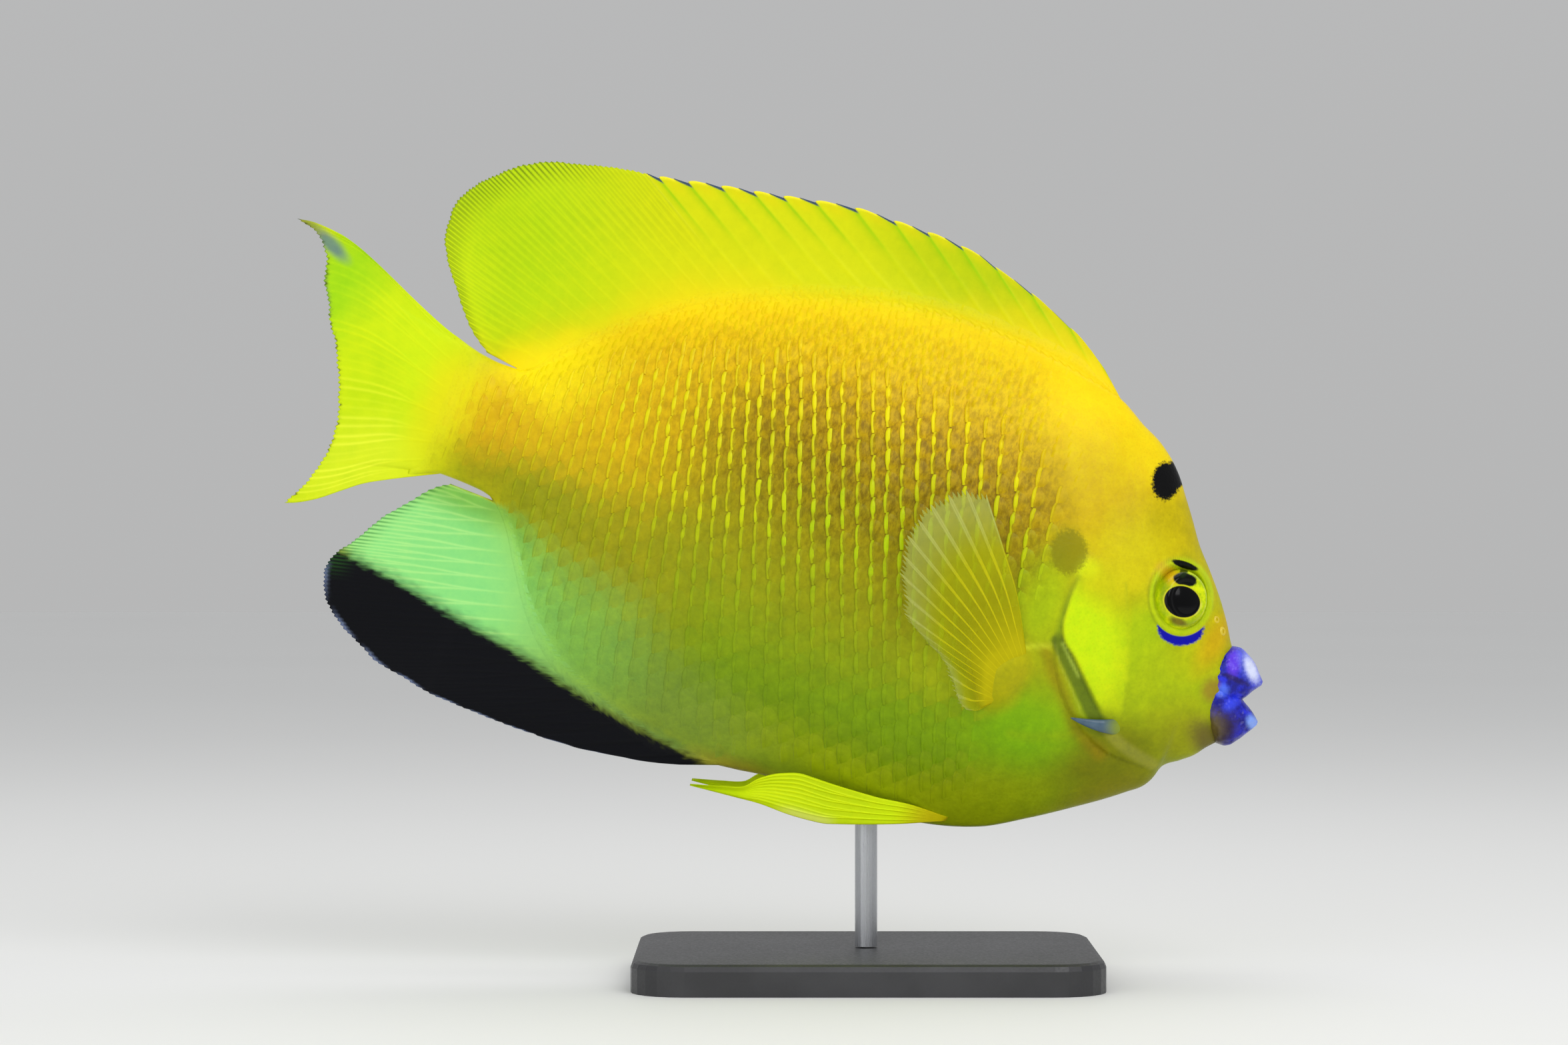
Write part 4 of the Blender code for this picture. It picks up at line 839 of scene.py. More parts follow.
def make_mark():
    """A group for one small crisp mark with an uneven edge: a turned ellipse on the side view."""
    inputs = [("Side", "NodeSocketVector"), ("Middle", "NodeSocketVector"), ("Reach", "NodeSocketVector"),
              ("Turn", "NodeSocketVector"), ("Soft", "NodeSocketFloat"), ("Uneven", "NodeSocketFloat")]
    tree, wiring, start, end = new_group("small mark", inputs, "Mask", "NodeSocketFloat")
    off = wiring.add("ShaderNodeVectorMath", {"operation": "SUBTRACT"}, i0=start.outputs["Side"],
                     i1=start.outputs["Middle"])
    turned = wiring.add("ShaderNodeVectorRotate", {"rotation_type": "EULER_XYZ"}, Vector=off.outputs[0],
                        Rotation=start.outputs["Turn"])
    scaled = wiring.add("ShaderNodeVectorMath", {"operation": "DIVIDE"}, i0=turned.outputs[0],
                        i1=start.outputs["Reach"])
    length = wiring.add("ShaderNodeVectorMath", {"operation": "LENGTH"}, i0=scaled.outputs[0])
    rough = wiring.noise(1.6, 3.0, 0.6, start.outputs["Side"])
    rough = wiring.math("MULTIPLY", wiring.math("SUBTRACT", rough, 0.5), start.outputs["Uneven"])
    radius = wiring.math("ADD", length.outputs["Value"], rough)
    low = wiring.math("SUBTRACT", 1.0, start.outputs["Soft"])
    high = wiring.math("ADD", 1.0, start.outputs["Soft"])
    mask = wiring.spread(radius, low, high, 1.0, 0.0)
    wiring.links.new(mask, end.inputs[0])
    return tree


FISH_AXES = make_fish_axes()
MARK = make_mark()


def mark_mask(wiring, side, at, reach, turn, soft, uneven=0.0):
    return wiring.group(
        MARK, Side=side, Middle=(*at, 0), Reach=(*reach, 1), Turn=(0, 0, -math.radians(turn)),
        Soft=soft, Uneven=uneven,
    )


def marked(wiring, side, colour, marks):
    """Lays small marks over a colour in turn."""
    for at, reach, turn, soft, tint, strength, uneven in marks:
        mask = mark_mask(wiring, side, at, reach, turn, soft, uneven)
        if strength != 1.0:
            mask = wiring.math("MULTIPLY", mask, strength)
        colour = wiring.mix(mask, colour, colour_of(*tint))
    return colour


def material(name, roughness, coat=0.0, coat_roughness=0.1, metallic=0.0, specular=0.5):
    made = bpy.data.materials.new(name)
    made.use_nodes = True
    wiring = Wiring(made.node_tree)
    shader = made.node_tree.nodes["Principled BSDF"]
    shader.inputs["Roughness"].default_value = roughness
    shader.inputs["Metallic"].default_value = metallic
    shader.inputs["Coat Weight"].default_value = coat
    shader.inputs["Coat Roughness"].default_value = coat_roughness
    shader.inputs["Specular IOR Level"].default_value = specular
    return made, wiring, shader


def bump(wiring, shader, height, strength, distance):
    node = wiring.add("ShaderNodeBump", Strength=strength, Distance=distance, Height=height)
    wiring.links.new(node.outputs[0], shader.inputs["Normal"])


def make_skin_marks():
    """A group that lays the small crisp marks of the head over the painted ground."""
    inputs = [("Ground", "NodeSocketColor")]
    tree, wiring, start, end = new_group("marks of the head", inputs, "Colour", "NodeSocketColor")
    side = wiring.group(FISH_AXES)
    under = marked(wiring, side, start.outputs["Ground"], SPOTS)
    colour = marked(wiring, side, under, [CRESCENT])
    inner = mark_mask(wiring, side, ORBIT_AT, [reach + 0.1 for reach in ORBIT_REACH], ORBIT_TURN, 0.02)
    colour = marked(wiring, side, wiring.mix(inner, colour, under), FACE_MARKS)
    wiring.links.new(colour, end.inputs[0])
    return tree


SKIN_MARKS = make_skin_marks()


def make_mottle():
    """A group that lays the uneven tone of the living fish over its paint, darker where the scales show."""
    inputs = [("Ground", "NodeSocketColor"), ("Contrast", "NodeSocketFloat"), ("Mottle", "NodeSocketFloat")]
    tree, wiring, start, end = new_group("mottled ground", inputs, "Colour", "NodeSocketColor")
    tall = wiring.add("ShaderNodeMapping", Vector=wiring.group(FISH_AXES), Scale=(1.0, 0.5, 1.0))
    cloud = wiring.spread(wiring.noise(0.8, 4.0, 0.7, tall.outputs[0]), 0.34, 0.64)
    shade = wiring.mix(cloud, colour_of(168, 156, 110), colour_of(226, 220, 170))
    colour = wiring.mix(start.outputs["Contrast"], start.outputs["Ground"], shade, "MULTIPLY")
    broad = wiring.noise(260.0, 5.0, 0.62)
    tone = wiring.mix(broad, colour_of(64, 84, 0), colour_of(255, 236, 70))
    colour = wiring.mix(wiring.math("MULTIPLY", start.outputs["Mottle"], 0.32), colour, tone, "OVERLAY")
    fine = wiring.noise(900.0, 4.0, 0.6)
    tone = wiring.mix(fine, colour_of(70, 80, 0), colour_of(255, 250, 60))
    colour = wiring.mix(wiring.math("MULTIPLY", start.outputs["Mottle"], 0.2), colour, tone, "OVERLAY")
    wiring.links.new(colour, end.inputs[0])
    return tree


MOTTLE = make_mottle()


def make_skin_finish():
    made, wiring, shader = material("fish_skin", 0.42, coat=0.02, coat_roughness=0.25, specular=0.11)
    colour = wiring.group(
        MOTTLE, Ground=wiring.attribute("paint", "Color"), Contrast=wiring.attribute("contrast"),
        Mottle=wiring.attribute("mottle"),
    )
    fine = wiring.noise(900.0, 4.0, 0.6)
    grain = wiring.cells(1500.0)
    freckle = wiring.spread(grain, 0.0, 0.55, 0.07, 0.0)
    colour = wiring.mix(freckle, colour, colour_of(120, 100, 10), "MULTIPLY")
    colour = wiring.group(SKIN_MARKS, Ground=colour)
    wiring.links.new(colour, shader.inputs["Base Color"])
    wiring.links.new(wiring.spread(fine, 0.3, 0.7, 0.36, 0.5), shader.inputs["Roughness"])
    bump(wiring, shader, grain, 0.35, 0.00012)
    return made


def make_fin_finish(name, alpha=False):
    made, wiring, shader = material(name, 0.45, specular=0.1)
    ridge = wiring.attribute("ridge")
    colour = wiring.group(MOTTLE, Ground=wiring.attribute("paint", "Color"), Contrast=0.0, Mottle=0.5)
    lit = wiring.math("MULTIPLY", ridge, 0.12)
    colour = wiring.mix(lit, colour, colour_of(250, 246, 60), "SCREEN" if alpha else "OVERLAY")
    wiring.links.new(colour, shader.inputs["Base Color"])
    if alpha:
        wiring.links.new(wiring.attribute("cover"), shader.inputs["Alpha"])
    bump(wiring, shader, wiring.noise(2200.0, 2.0, 0.5), 0.2, 0.0001)
    return made


def make_scale_finish():
    made, wiring, shader = material("scales", 0.38, coat=0.03, coat_roughness=0.2, specular=0.11)
    plain = wiring.math("SUBTRACT", 1.0, wiring.attribute("shine"))
    depth = wiring.math("MULTIPLY", wiring.attribute("contrast"), plain)
    colour = wiring.group(MOTTLE, Ground=wiring.attribute("paint", "Color"), Contrast=depth, Mottle=1.0)
    wiring.links.new(wiring.group(SKIN_MARKS, Ground=colour), shader.inputs["Base Color"])
    bump(wiring, shader, wiring.noise(1400.0, 3.0, 0.6), 0.25, 0.0001)
    return made


SKIN = make_skin_finish()
FIN = make_fin_finish("fin_membrane")
CLEAR_FIN = make_fin_finish("clear_fin_membrane", alpha=True)
SCALES = make_scale_finish()


# One skin over head, trunk and tail stalk

def build_skin():
    stations = np.concatenate([
        np.linspace(SKIN_START, 10, 8)[:-1], np.linspace(10, 56, 110)[:-1], np.linspace(56, SKIN_END, 168),
    ])
    even = np.linspace(0, 1, 152)
    rows = 0.55 * even + 0.45 * (0.5 - 0.5 * np.cos(np.pi * even))
    low = belly(stations) - anal_sleeve(stations)
    high = back(stations) + dorsal_sleeve(stations)
    s = np.repeat(stations[:, None], len(rows), axis=1)
    h = low[:, None] + (high - low)[:, None] * rows[None, :]
    side = skin_side(s, h)
    side[:, [0, -1]] = 0
    side[[0, -1]] = 0
    beyond = np.maximum(-inset(s, h) / SLEEVE, (s - MOTTLE_END) / MOTTLE_FADE)
    mottle = 1 - 0.5 * ramp(beyond, -0.6, 0.8)
    values = {"paint": paint(s, h), "contrast": contrast_at(s, h), "mottle": mottle}
    made = sheet("skin", s, h, -side, side, SKIN, values)
    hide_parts("head", "torso", "tail_base", "gill_cover_right", "gill_cover_left")


# Fins, each a fine sheet whose rays are ridges

def fin_grid(rays, rows, columns=COLUMNS_PER_RAY):
    """Ray numbers, with columns from each ray to the next, and shares of the way from root to margin."""
    lines = np.linspace(0, rays - 1, (rays - 1) * columns + 1)
    return np.meshgrid(lines, 1 - (1 - np.linspace(0, 1, rows)) ** 1.25, indexing="ij")


def fin_places(base, margin, first, last, at_base, at_margin, u, r):
    """Places in side view between a fin's root, its margin and its two end rays."""
    edges = (1 - u)[..., None] * first(r) + u[..., None] * last(r)
    ends = (1 - r)[..., None] * base(at_base) + r[..., None] * margin(at_margin)
    zero, full = np.zeros(1), np.ones(1)
    patch = (1 - r)[..., None] * ((1 - u)[..., None] * base(zero)[0] + u[..., None] * base(full)[0])
    patch = patch + r[..., None] * ((1 - u)[..., None] * margin(zero)[0] + u[..., None] * margin(full)[0])
    return edges + ends - patch


def ray_ridges(ray, r, spines, forks=(0.25, 0.125), width=0.085):
    """How near each place is to the crest of a spine or of a branching ray, from 0 to 1."""
    number = np.round(ray)
    across = ray - number
    hard = number < spines
    first_fork = forks[0] * ramp(r, 0.22, 0.6)
    second_fork = forks[1] * ramp(r, 0.5, 0.85)
    soft = np.zeros_like(ray)
    for outer in (-1, 1):
        for inner in (-1, 1):
            centre = outer * first_fork + inner * second_fork
            soft = np.maximum(soft, hill(across - centre, width * (1 - 0.3 * r)))
    return np.where(hard, hill(across, 0.11), soft), across, hard


def shape_margin(places, ray, r, across, hard, notch, fray):
    """Moves the outer rows: spine tips rise from notches with a lobe behind each, and soft rays fray."""
    run = places[:, -1] - places[:, -4]
    run /= np.linalg.norm(run, axis=1, keepdims=True)
    u = ray[:, -1] - np.floor(ray[:, -1] + 0.02)
    free_tip = -notch * (1 - np.clip(u / TIP_END, 0, 1)) + 0.15
    along_lobe = np.clip((u - TIP_END) / (1 - TIP_END), 0, 1)
    lobe = -0.2 + 0.42 * np.sin(math.pi * along_lobe) - 0.25 * along_lobe ** 6
    spiny = np.where(u < TIP_END, free_tip, lobe)
    frayed = -fray * (0.5 + 0.5 * np.cos(across[:, -1] * 4 * math.tau + math.pi))
    frayed = frayed + 0.3 * fray * np.sin(ray[:, -1] * 5.3) * np.sin(ray[:, -1] * 2.1)
    reach = np.where(hard[:, -1], spiny, frayed)
    weight = ramp(r[0], 0.9, 1.0)
    return places + run[:, None, :] * (reach[:, None] * weight[None, :])[..., None]


def sink_root(places, depth, *fields):
    """Adds rows that carry the fin's root down into the body, to its places and to their values."""
    run = places[:, 1] - places[:, 0]
    run /= np.linalg.norm(run, axis=1, keepdims=True)
    steps = np.linspace(depth, 0, SUNK_ROWS + 1)[:-1]
    sunk = places[:, :1] - run[:, None, :] * steps[None, :, None]
    padded = [np.concatenate([np.repeat(field[:, :1], SUNK_ROWS, axis=1), field], axis=1) for field in fields]
    return (np.concatenate([sunk, places], axis=1), *padded)


def thin_rim(ray, r, rays, lines_over=0.35):
    """Brings a fin's two faces together at its margin, its sunken root and its first and last ray."""
    outer = np.sqrt(np.clip((1 - r) / 0.03, 0, 1))
    outer[:, 0] = 0
    ends = np.minimum(ray, rays - 1 - ray)
    return outer * np.sqrt(1 - (1 - np.clip(ends / lines_over, 0, 1)) ** 2)


def median_fin(name, edge, margin_points, keys, spines, replaced, tint_at, notch=0.9, fray=0.45):
    base_s = np.linspace(keys[0][1][0], keys[-1][1][0], 60)
    base, margin = path(np.stack([base_s, edge(base_s)], axis=-1)), path(margin_points)
    base_at = profile([(ray, place_on(base, root)) for ray, root, _ in keys])
    margin_at = profile([(ray, place_on(margin, tip)) for ray, _, tip in keys])
    ends = np.array([0.0, 1.0])
    first, last = (straight(base(ends)[end], margin(ends)[end]) for end in (0, 1))
    rays = keys[-1][0] + 1
    ray, r = fin_grid(rays, 46)
    places = fin_places(base, margin, first, last, base_at(ray), margin_at(ray), ray / (rays - 1), r)
    ridge, across, hard = ray_ridges(ray, r, spines)
    places = shape_margin(places, ray, r, across, hard, notch, fray)
    places, ray, r, ridge, hard = sink_root(places, SLEEVE, ray, r, ridge, hard)
    s, h = places[..., 0], places[..., 1]
    height = np.where(hard, SPINE_RIDGE, RAY_RIDGE) * (1 - 0.55 * r) * ramp(r, 0.02, 0.2)
    root = half_width(s, h, detail=False)
    half = np.where(inset(s, h) > 0, np.minimum(root - 0.3, 1.6), root)
    rim = thin_rim(ray, r, rays)
    half = np.maximum(half, 0.1) * rim + height * ridge * rim
    wave = 0.45 * ramp(r, 0.2, 1.0) * np.sin(0.8 * ray + 0.6) * (1 - 0.6 * hard)
    values = {"paint": tint_at(paint(s, h), s, r, ridge, hard, ray), "ridge": ridge * ramp(r, 0.03, 0.25)}
    made = sheet(name, s, h, wave - half, wave + half, FIN, values)
    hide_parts(replaced)


def tinted_dorsal(tint, s, r, ridge, hard, ray):
    """Green along the spines, dark blue free tips, a bright edge, and dark dashes between the rear rays."""
    u = ray - np.floor(ray + 0.02)
    across = ray - np.round(ray)
    green = hill(across - 0.02, 0.07) * ramp(r, 0.35, 0.9) * 0.6
    green = green + hill(across - 0.12, 0.16) * ramp(r, 0.3, 0.8) * 0.25
    edge = ramp(r, 0.972, 0.99) * (u > TIP_END)
    tip = ramp(r, 0.935 + 0.04 * u / TIP_END, 0.965 + 0.03 * u / TIP_END)
    tip = tip * (u <= TIP_END + 0.02) * ramp(ray, 0.6, 1.4)
    dash = (1 - ridge) * ramp(r, 0.82, 0.97) * (0.6 + 0.4 * np.sin(ray * 50.0)) * ramp(s, 172, 190)
    between = 0.1 * (1 - ridge) * ramp(r, 0.3, 0.8)
    return layered(tint, [
        ((128, 192, 0), np.where(hard, green, 0)),
        ((232, 212, 6), np.where(hard, hill(u - 0.6, 0.3) * ramp(r, 0.8, 0.95) * 0.4, 0)),
        ((255, 240, 50), np.where(hard, edge * 0.8, 0)),
        ((52, 72, 112), np.where(hard, tip, 0)),
        ((60, 82, 6), np.where(hard, 0, 0.7 * dash + between)),
    ])


def tinted_anal(tint, s, r, ridge, hard, ray):
    """Pale rays above the black band, dark dashes between their ends, and a thin pale edge below the band."""
    pale = ramp(tint[..., 1], 0.2, 0.6) * ramp(r, 0.05, 0.3)
    dash = (1 - ridge) * ramp(r, 0.84, 0.97) * (0.6 + 0.4 * np.sin(ray * 50.0)) * ramp(ray, 12.5, 14)
    edge = ramp(r, 0.972, 0.992) * (0.35 + 0.35 * np.sin(s * 0.7)) * (1 - ramp(ray, 13, 14))
    return layered(tint, [
        ((206, 252, 200), 0.22 * ridge * pale),
        ((112, 206, 116), 0.22 * (1 - ridge) * pale),
        ((44, 96, 40), 0.75 * dash),
        ((120, 136, 200), edge),
    ])


def build_caudal_fin():
    base = straight(CAUDAL_UPPER_EDGE[0], CAUDAL_LOWER_EDGE[0])
    margin, first, last = path(CAUDAL_MARGIN), path(CAUDAL_UPPER_EDGE), path(CAUDAL_LOWER_EDGE)
    ray, r = fin_grid(CAUDAL_RAYS, 50)
    u = ray / (CAUDAL_RAYS - 1)
    places = fin_places(base, margin, first, last, u, u, u, r)
    ridge, across, hard = ray_ridges(ray, r, 0, forks=(0.22, 0.0), width=0.1)
    ridge = ridge * (0.6 + 0.4 * np.sin(2.3 * np.round(ray)))
    places = shape_margin(places, ray, r, across, hard, 0.0, 0.5)
    places, ray, r, ridge = sink_root(places, 5.0, ray, r, ridge)
    s, h = places[..., 0], places[..., 1]
    narrowed = h * np.clip(1 - (s - TAIL_ROOT) / 90, 0.5, 1)
    root = half_width(np.minimum(s, TAIL_ROOT), narrowed, detail=False)
    body = half_width(s, h, detail=False)
    fall = np.clip((s - TAIL_ROOT) / 36, 0, 1)
    half = FIN_EDGE + (np.minimum(root, 3.9) - FIN_EDGE) * (1 - fall) ** 2.4
    excess = np.maximum(half - np.maximum(body - 0.05, 0.2), 0)
    half = half - excess * (1 - ramp(s, *TAIL_THICKENS))
    half = np.where(s < TAIL_ROOT, half - 0.4, half)
    raised = 0.11 * ridge * ramp(r, 0.05, 0.3) * (1 - 0.5 * r)
    half = (np.maximum(half, 0.1) + raised) * thin_rim(ray, r, CAUDAL_RAYS)
    wave = 0.6 * ramp(r, 0.2, 1.0) * np.sin(0.7 * ray)
    tint = layered(paint(s, h), [
        ((130, 196, 8), 0.2 * (1 - ridge) * ramp(r, 0.25, 0.7) * (0.6 + 0.4 * ripple(s, h, 9.0))),
        # painted highlight: the rays of the lower lobe are lighter along their ridges
        ((246, 255, 80), 0.55 * ridge * ramp(r, 0.3, 0.6) * ramp(-h, -6, 14)),
        ((62, 66, 30), 0.75 * ramp(ripple(s, h, 2.3), 0.2, 0.6) * ramp(r, 0.975, 0.995)),
    ])
    values = {"paint": tint, "ridge": ridge * ramp(r, 0.0, 0.25)}
    made = sheet("tail_fin", s, h, wave - half, wave + half, FIN, values)
    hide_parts("caudal_fin")


def build_pectoral_fin(side, name):
    base, margin = path(PECTORAL_ROOT), path(PECTORAL_MARGIN)
    first, last = path(PECTORAL_TRAILING_EDGE), path(PECTORAL_LEADING_EDGE)
    ray, r = fin_grid(PECTORAL_RAYS, 40, PECTORAL_COLUMNS)
    u = ray / (PECTORAL_RAYS - 1)
    places = fin_places(base, margin, first, last, u, u, u, r)
    ridge, across, hard = ray_ridges(ray, r, 0, forks=(0.05, 0.0), width=0.065)
    places = shape_margin(places, ray, r, across, hard, 0.0, 1.5)
    root_s, root_h = places[:, 0, 0], places[:, 0, 1]
    root_out = half_width(root_s, root_h) - 0.3
    places, ray, r, ridge = sink_root(places, 2.4, ray, r, ridge)
    s, h = places[..., 0], places[..., 1]
    travel = np.hypot(s - root_s[:, None], h - root_h[:, None])
    travel[:, :SUNK_ROWS] *= -1
    out = root_out[:, None] + PECTORAL_SPREAD * travel + 0.35 * ramp(r, 0.3, 1) * np.sin(1.3 * ray)
    bead = 0.75 + 0.25 * np.sin(travel * 4.4)
    half = 0.2 + 0.55 * (1 - r) ** 2 + 0.16 * ridge * bead * ramp(r, 0.02, 0.15) * (1 - 0.6 * r)
    half = half * thin_rim(ray, r, PECTORAL_RAYS)
    tint = layered(plain(s, (186, 192, 16)), [
        ((200, 190, 4), 1 - ramp(r, 0.05, 0.6)),
        ((156, 164, 4), 0.3 * (1 - ridge) * ramp(r, 0.03, 0.15) * (1 - ramp(r, 0.3, 0.6))),
        ((224, 212, 10), 0.6 * ridge * (1 - ramp(r, 0.5, 0.8))),
        ((176, 188, 100), ramp(r, 0.6, 0.95)),
        ((208, 214, 150), 0.55 * ridge * ramp(r, 0.55, 0.85)),
    ])
    in_front = ramp(ray / PECTORAL_RAYS, 0.4, 0.75) * ramp(r, 0.2, 0.5)
    cover = 0.3 + 0.5 * (1 - ramp(r, 0.0, 0.45)) + 0.14 * in_front
    cover = cover + 0.3 * ridge * ramp(r, 0.05, 0.2) * (1 - 0.6 * ramp(r, 0.5, 0.9))
    values = {"paint": tint, "ridge": ridge * bead * 0.5, "cover": cover}
    right, left = two_faces(out, half, side)
    made = sheet("pectoral_" + name, s, h, right, left, CLEAR_FIN, values)
    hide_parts("pectoral_fin_" + name)


def build_pelvic_fin(side, name):
    upper, lower = path(PELVIC_UPPER_EDGE), path(PELVIC_LOWER_EDGE)
    ray, r = fin_grid(PELVIC_RAYS, 60)
    share = (ray / (PELVIC_RAYS - 1))[..., None]
    places = lower(r) * (1 - share) + upper(r) * share
    ridge, _, _ = ray_ridges(ray, r, 1)
    places, ray, r, ridge = sink_root(places, 2.5, ray, r, ridge)
    s, h = places[..., 0], places[..., 1]
    out = profile(PELVIC_OUT)(s) + PELVIC_LEAN * ray / (PELVIC_RAYS - 1)
    out = out + 0.3 * np.sin(ray * 1.6) * ramp(r, 0.2, 0.9)
    half = 0.2 + 0.5 * (1 - r) ** 2 + 0.24 * ridge * ramp(r, 0.02, 0.15) * (1 - 0.6 * r)
    half = half * thin_rim(ray, r, PELVIC_RAYS)
    tint = layered(plain(s, (214, 240, 8)), [
        # painted highlight: a whitish patch along the fin's lower edge
        ((236, 244, 120), hill(ray - 0.3, 0.6) * ramp(s, 80, 84) * (1 - ramp(s, 90, 96))),
        ((200, 190, 12), 1 - ramp(r, 0.02, 0.2)),
        ((150, 176, 6), 0.3 * (1 - ridge) * ramp(r, 0.1, 0.4)),
    ])
    right, left = two_faces(out, half, side)
    values = {"paint": tint, "ridge": ridge}
    made = sheet("pelvic_" + name, s, h, right, left, FIN, values)
    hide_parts("pelvic_fin_" + name)


# The coat of scales, joined meshes that lie on the skin

def lattice(pitch_at, row_pitch, start, end, bottom, top, seed, unevenness):
    """Roots of scales in leaning columns, every second one half a row higher, with their lean and pitch."""
    draw = np.random.default_rng(seed)
    rows = np.arange(bottom, top, row_pitch)
    column, found, number = start, [], 0
    while column < end:
        pitch = float(pitch_at(column))
        lean = math.radians(float(column_lean(column)))
        up = rows + (number % 2) * row_pitch / 2
        one = np.ones(len(up))
        found.append(np.stack([column + up * math.tan(lean), up, lean * one, pitch * one], axis=-1))
        column, number = column + pitch, number + 1
    found = np.concatenate(found)
    reach = np.stack([found[:, 3], row_pitch * np.ones(len(found))], -1)
    found[:, :2] += draw.normal(0, unevenness, (len(found), 2)) * reach
    return found


def room_round(s, h):
    """How far a scale is from where the coat ends: gills, body edge or tail."""
    inside = np.minimum(h - belly(s), back(s) - h + 4)
    return np.minimum(np.minimum(s - gill_side(h) + 4, COAT_END - s), inside)


def scale_size(s, h):
    """Scales grow smaller towards the ends of the coat and the tail stalk."""
    return (0.62 + 0.38 * ramp(room_round(s, h), 0, 11)) * (1 - 0.16 * ramp(s, 150, 180))


def contrast_at(s, h):
    """How strongly the pattern of bright rims and dark grounds shows."""
    rearward = 1 - 0.72 * ramp(s, 106, 172)
    return pattern(h) * rearward * (0.62 + 0.38 * ramp(s, 50, 78)) * ramp(room_round(s, h), 1, 13)


def plate_template(columns=6, rows=7):
    """One scale: places (back, up, out) in shares of its pitch, and how much it takes of the rims' colour."""
    a, b = np.meshgrid(np.linspace(0, 1, columns), np.linspace(-1, 1, rows), indexing="ij")
    rear = 1.0 - 0.07 * b ** 2
    back_off = -0.58 + 1.7 * a * rear
    up_off = 0.62 * b * (0.9 + 0.1 * np.sin(math.pi * a))
    out = -0.09 + 0.16 * a ** 1.4 + 0.03 * (1 - b ** 2) - 0.09 * b ** 4
    back_off = np.vstack([back_off, back_off[-1] + 0.015])
    up_off = np.vstack([up_off, up_off[-1]])
    out = np.vstack([out, out[-1] - 0.16])
    shine = 0.4 * hill(a - 1.0, 0.12) + 0.3 * hill(a - 0.42, 0.1)
    shine = np.vstack([shine, shine[-1]])
    return np.stack([back_off, up_off, out], axis=-1)[None], shine[None]


def rim_shapes(count, seed, rows=15):
    """Bright rims on the scales' rear edges, each a thin line with a bead of its own."""
    draw = np.random.default_rng(seed)
    b = np.linspace(-1, 1, rows)[None, :]
    bead_at = 0.15 + draw.normal(0, 0.2, (count, 1))
    bead_size = draw.uniform(0.1, 0.75, (count, 1))
    bead_long = draw.uniform(0.4, 0.9, (count, 1))
    bead = np.exp(-((b - bead_at) / bead_long) ** 4) * bead_size
    rear = -0.58 + 1.7 * (1.0 - 0.03 * b ** 2) - 0.07 * ramp(b, 0.55, 1.05)
    rear = rear + draw.normal(0, 0.02, (count, 1))
    width = 0.15 + 0.14 * bead * (1 - 0.7 * ramp(b, 0.8, 1.0))
    high = 0.065 + 0.03 * (1 - b ** 2) + 0.055 * bead
    back_off = np.stack([
        rear - width, rear - width * 0.45, rear + 0.02 + 0.05 * bead, rear + 0.035 + 0.06 * bead,
    ], axis=1)
    up_off = np.broadcast_to(0.53 * b[:, None, :], back_off.shape)
    out = np.stack([high - 0.045, high + 0.012, high, high - 0.17], axis=1)
    shine = draw.uniform(0.45, 0.8, (count, 1)) + 0.5 * np.clip(bead / 0.6, 0, 1)
    return np.stack([back_off, up_off, out], axis=-1), np.broadcast_to(shine[:, None, :], back_off.shape)


def flat_scales(name, count, columns, rows, side):
    """A mesh of flat grids, one for each scale, with faces that look away from the fish."""
    bm = bmesh.new()
    bmesh.ops.create_grid(bm, x_segments=rows - 1, y_segments=columns - 1, size=1)
    if side > 0:
        bmesh.ops.reverse_faces(bm, faces=bm.faces)
    one = bpy.data.meshes.new("one_scale")
    bm.to_mesh(one)
    bm.clear()
    for _ in range(count):
        bm.from_mesh(one)
    bpy.data.meshes.remove(one)
    return take_mesh(name, bm)


def scale_paint(s, h, shine):
    """The fish's own paint, and the rims' colour as far as a place shines."""
    tint = blend(by_height(RIM_COLOURS, h), (232, 218, 4), 0.75 * ramp(s, 96, 146) * ramp(h, -20, 4))
    strength = 1.15 * (1 + 0.6 * ramp(s, 96, 150)) * contrast_at(s, h)
    share = np.clip(strength * shine, 0, 1)[..., None]
    return paint(s, h) * (1 - share) + tint * share


def coat(name, roots, row_pitch, shapes, shine, side):
    """Joins one scale at each root into a single mesh on one side of the fish."""
    columns, rows = shapes.shape[1:3]
    count = columns * rows
    shapes = np.broadcast_to(shapes.reshape(len(shapes), count, 3), (len(roots), count, 3))
    at_s, at_h, lean, pitch = roots.T[:, :, None]
    size = scale_size(at_s, at_h)
    rise = (0.1 + 0.9 * ramp(room_round(at_s, at_h), 1, 11)) * (0.4 + 0.6 * ramp(at_h, -32, 4))
    ds = shapes[..., 0] * size * pitch
    dh = shapes[..., 1] * size * row_pitch
    s = at_s + ds * np.cos(lean) + dh * np.sin(lean)
    h = at_h - ds * np.sin(lean) + dh * np.cos(lean)
    y = side * (skin_side(s, h) + shapes[..., 2] * size * pitch * rise)
    mesh = flat_scales(name, len(roots), columns, rows, side)
    mesh.vertices.foreach_set("co", fish_place(s, h, y).reshape(-1))
    mesh.update()
    here_s, here_h = np.repeat(at_s, count, axis=1), np.repeat(at_h, count, axis=1)
    above = here_h - scale_top(here_s)
    shine = shine.reshape(len(shine), count) * (1 - 0.7 * ramp(above, -10, -1) * (1 - ramp(above, 0, 4)))
    store(mesh, "paint", scale_paint(here_s, here_h, shine))
    store(mesh, "contrast", contrast_at(here_s, here_h))
    store(mesh, "shine", np.clip(shine, 0, 1))
    u = MAP_START + MAP_WIDE * (here_s - SKIN_START) / COAT_LONG + 0.003 * (shapes[..., 0] - 0.2)
    v = MAP_LOW[side] + MAP_TALL * (here_h - COAT_LOW) / COAT_TALL + 0.0015 * shapes[..., 1]
    store_map(mesh, u, v)
    show(name, mesh, SCALES)


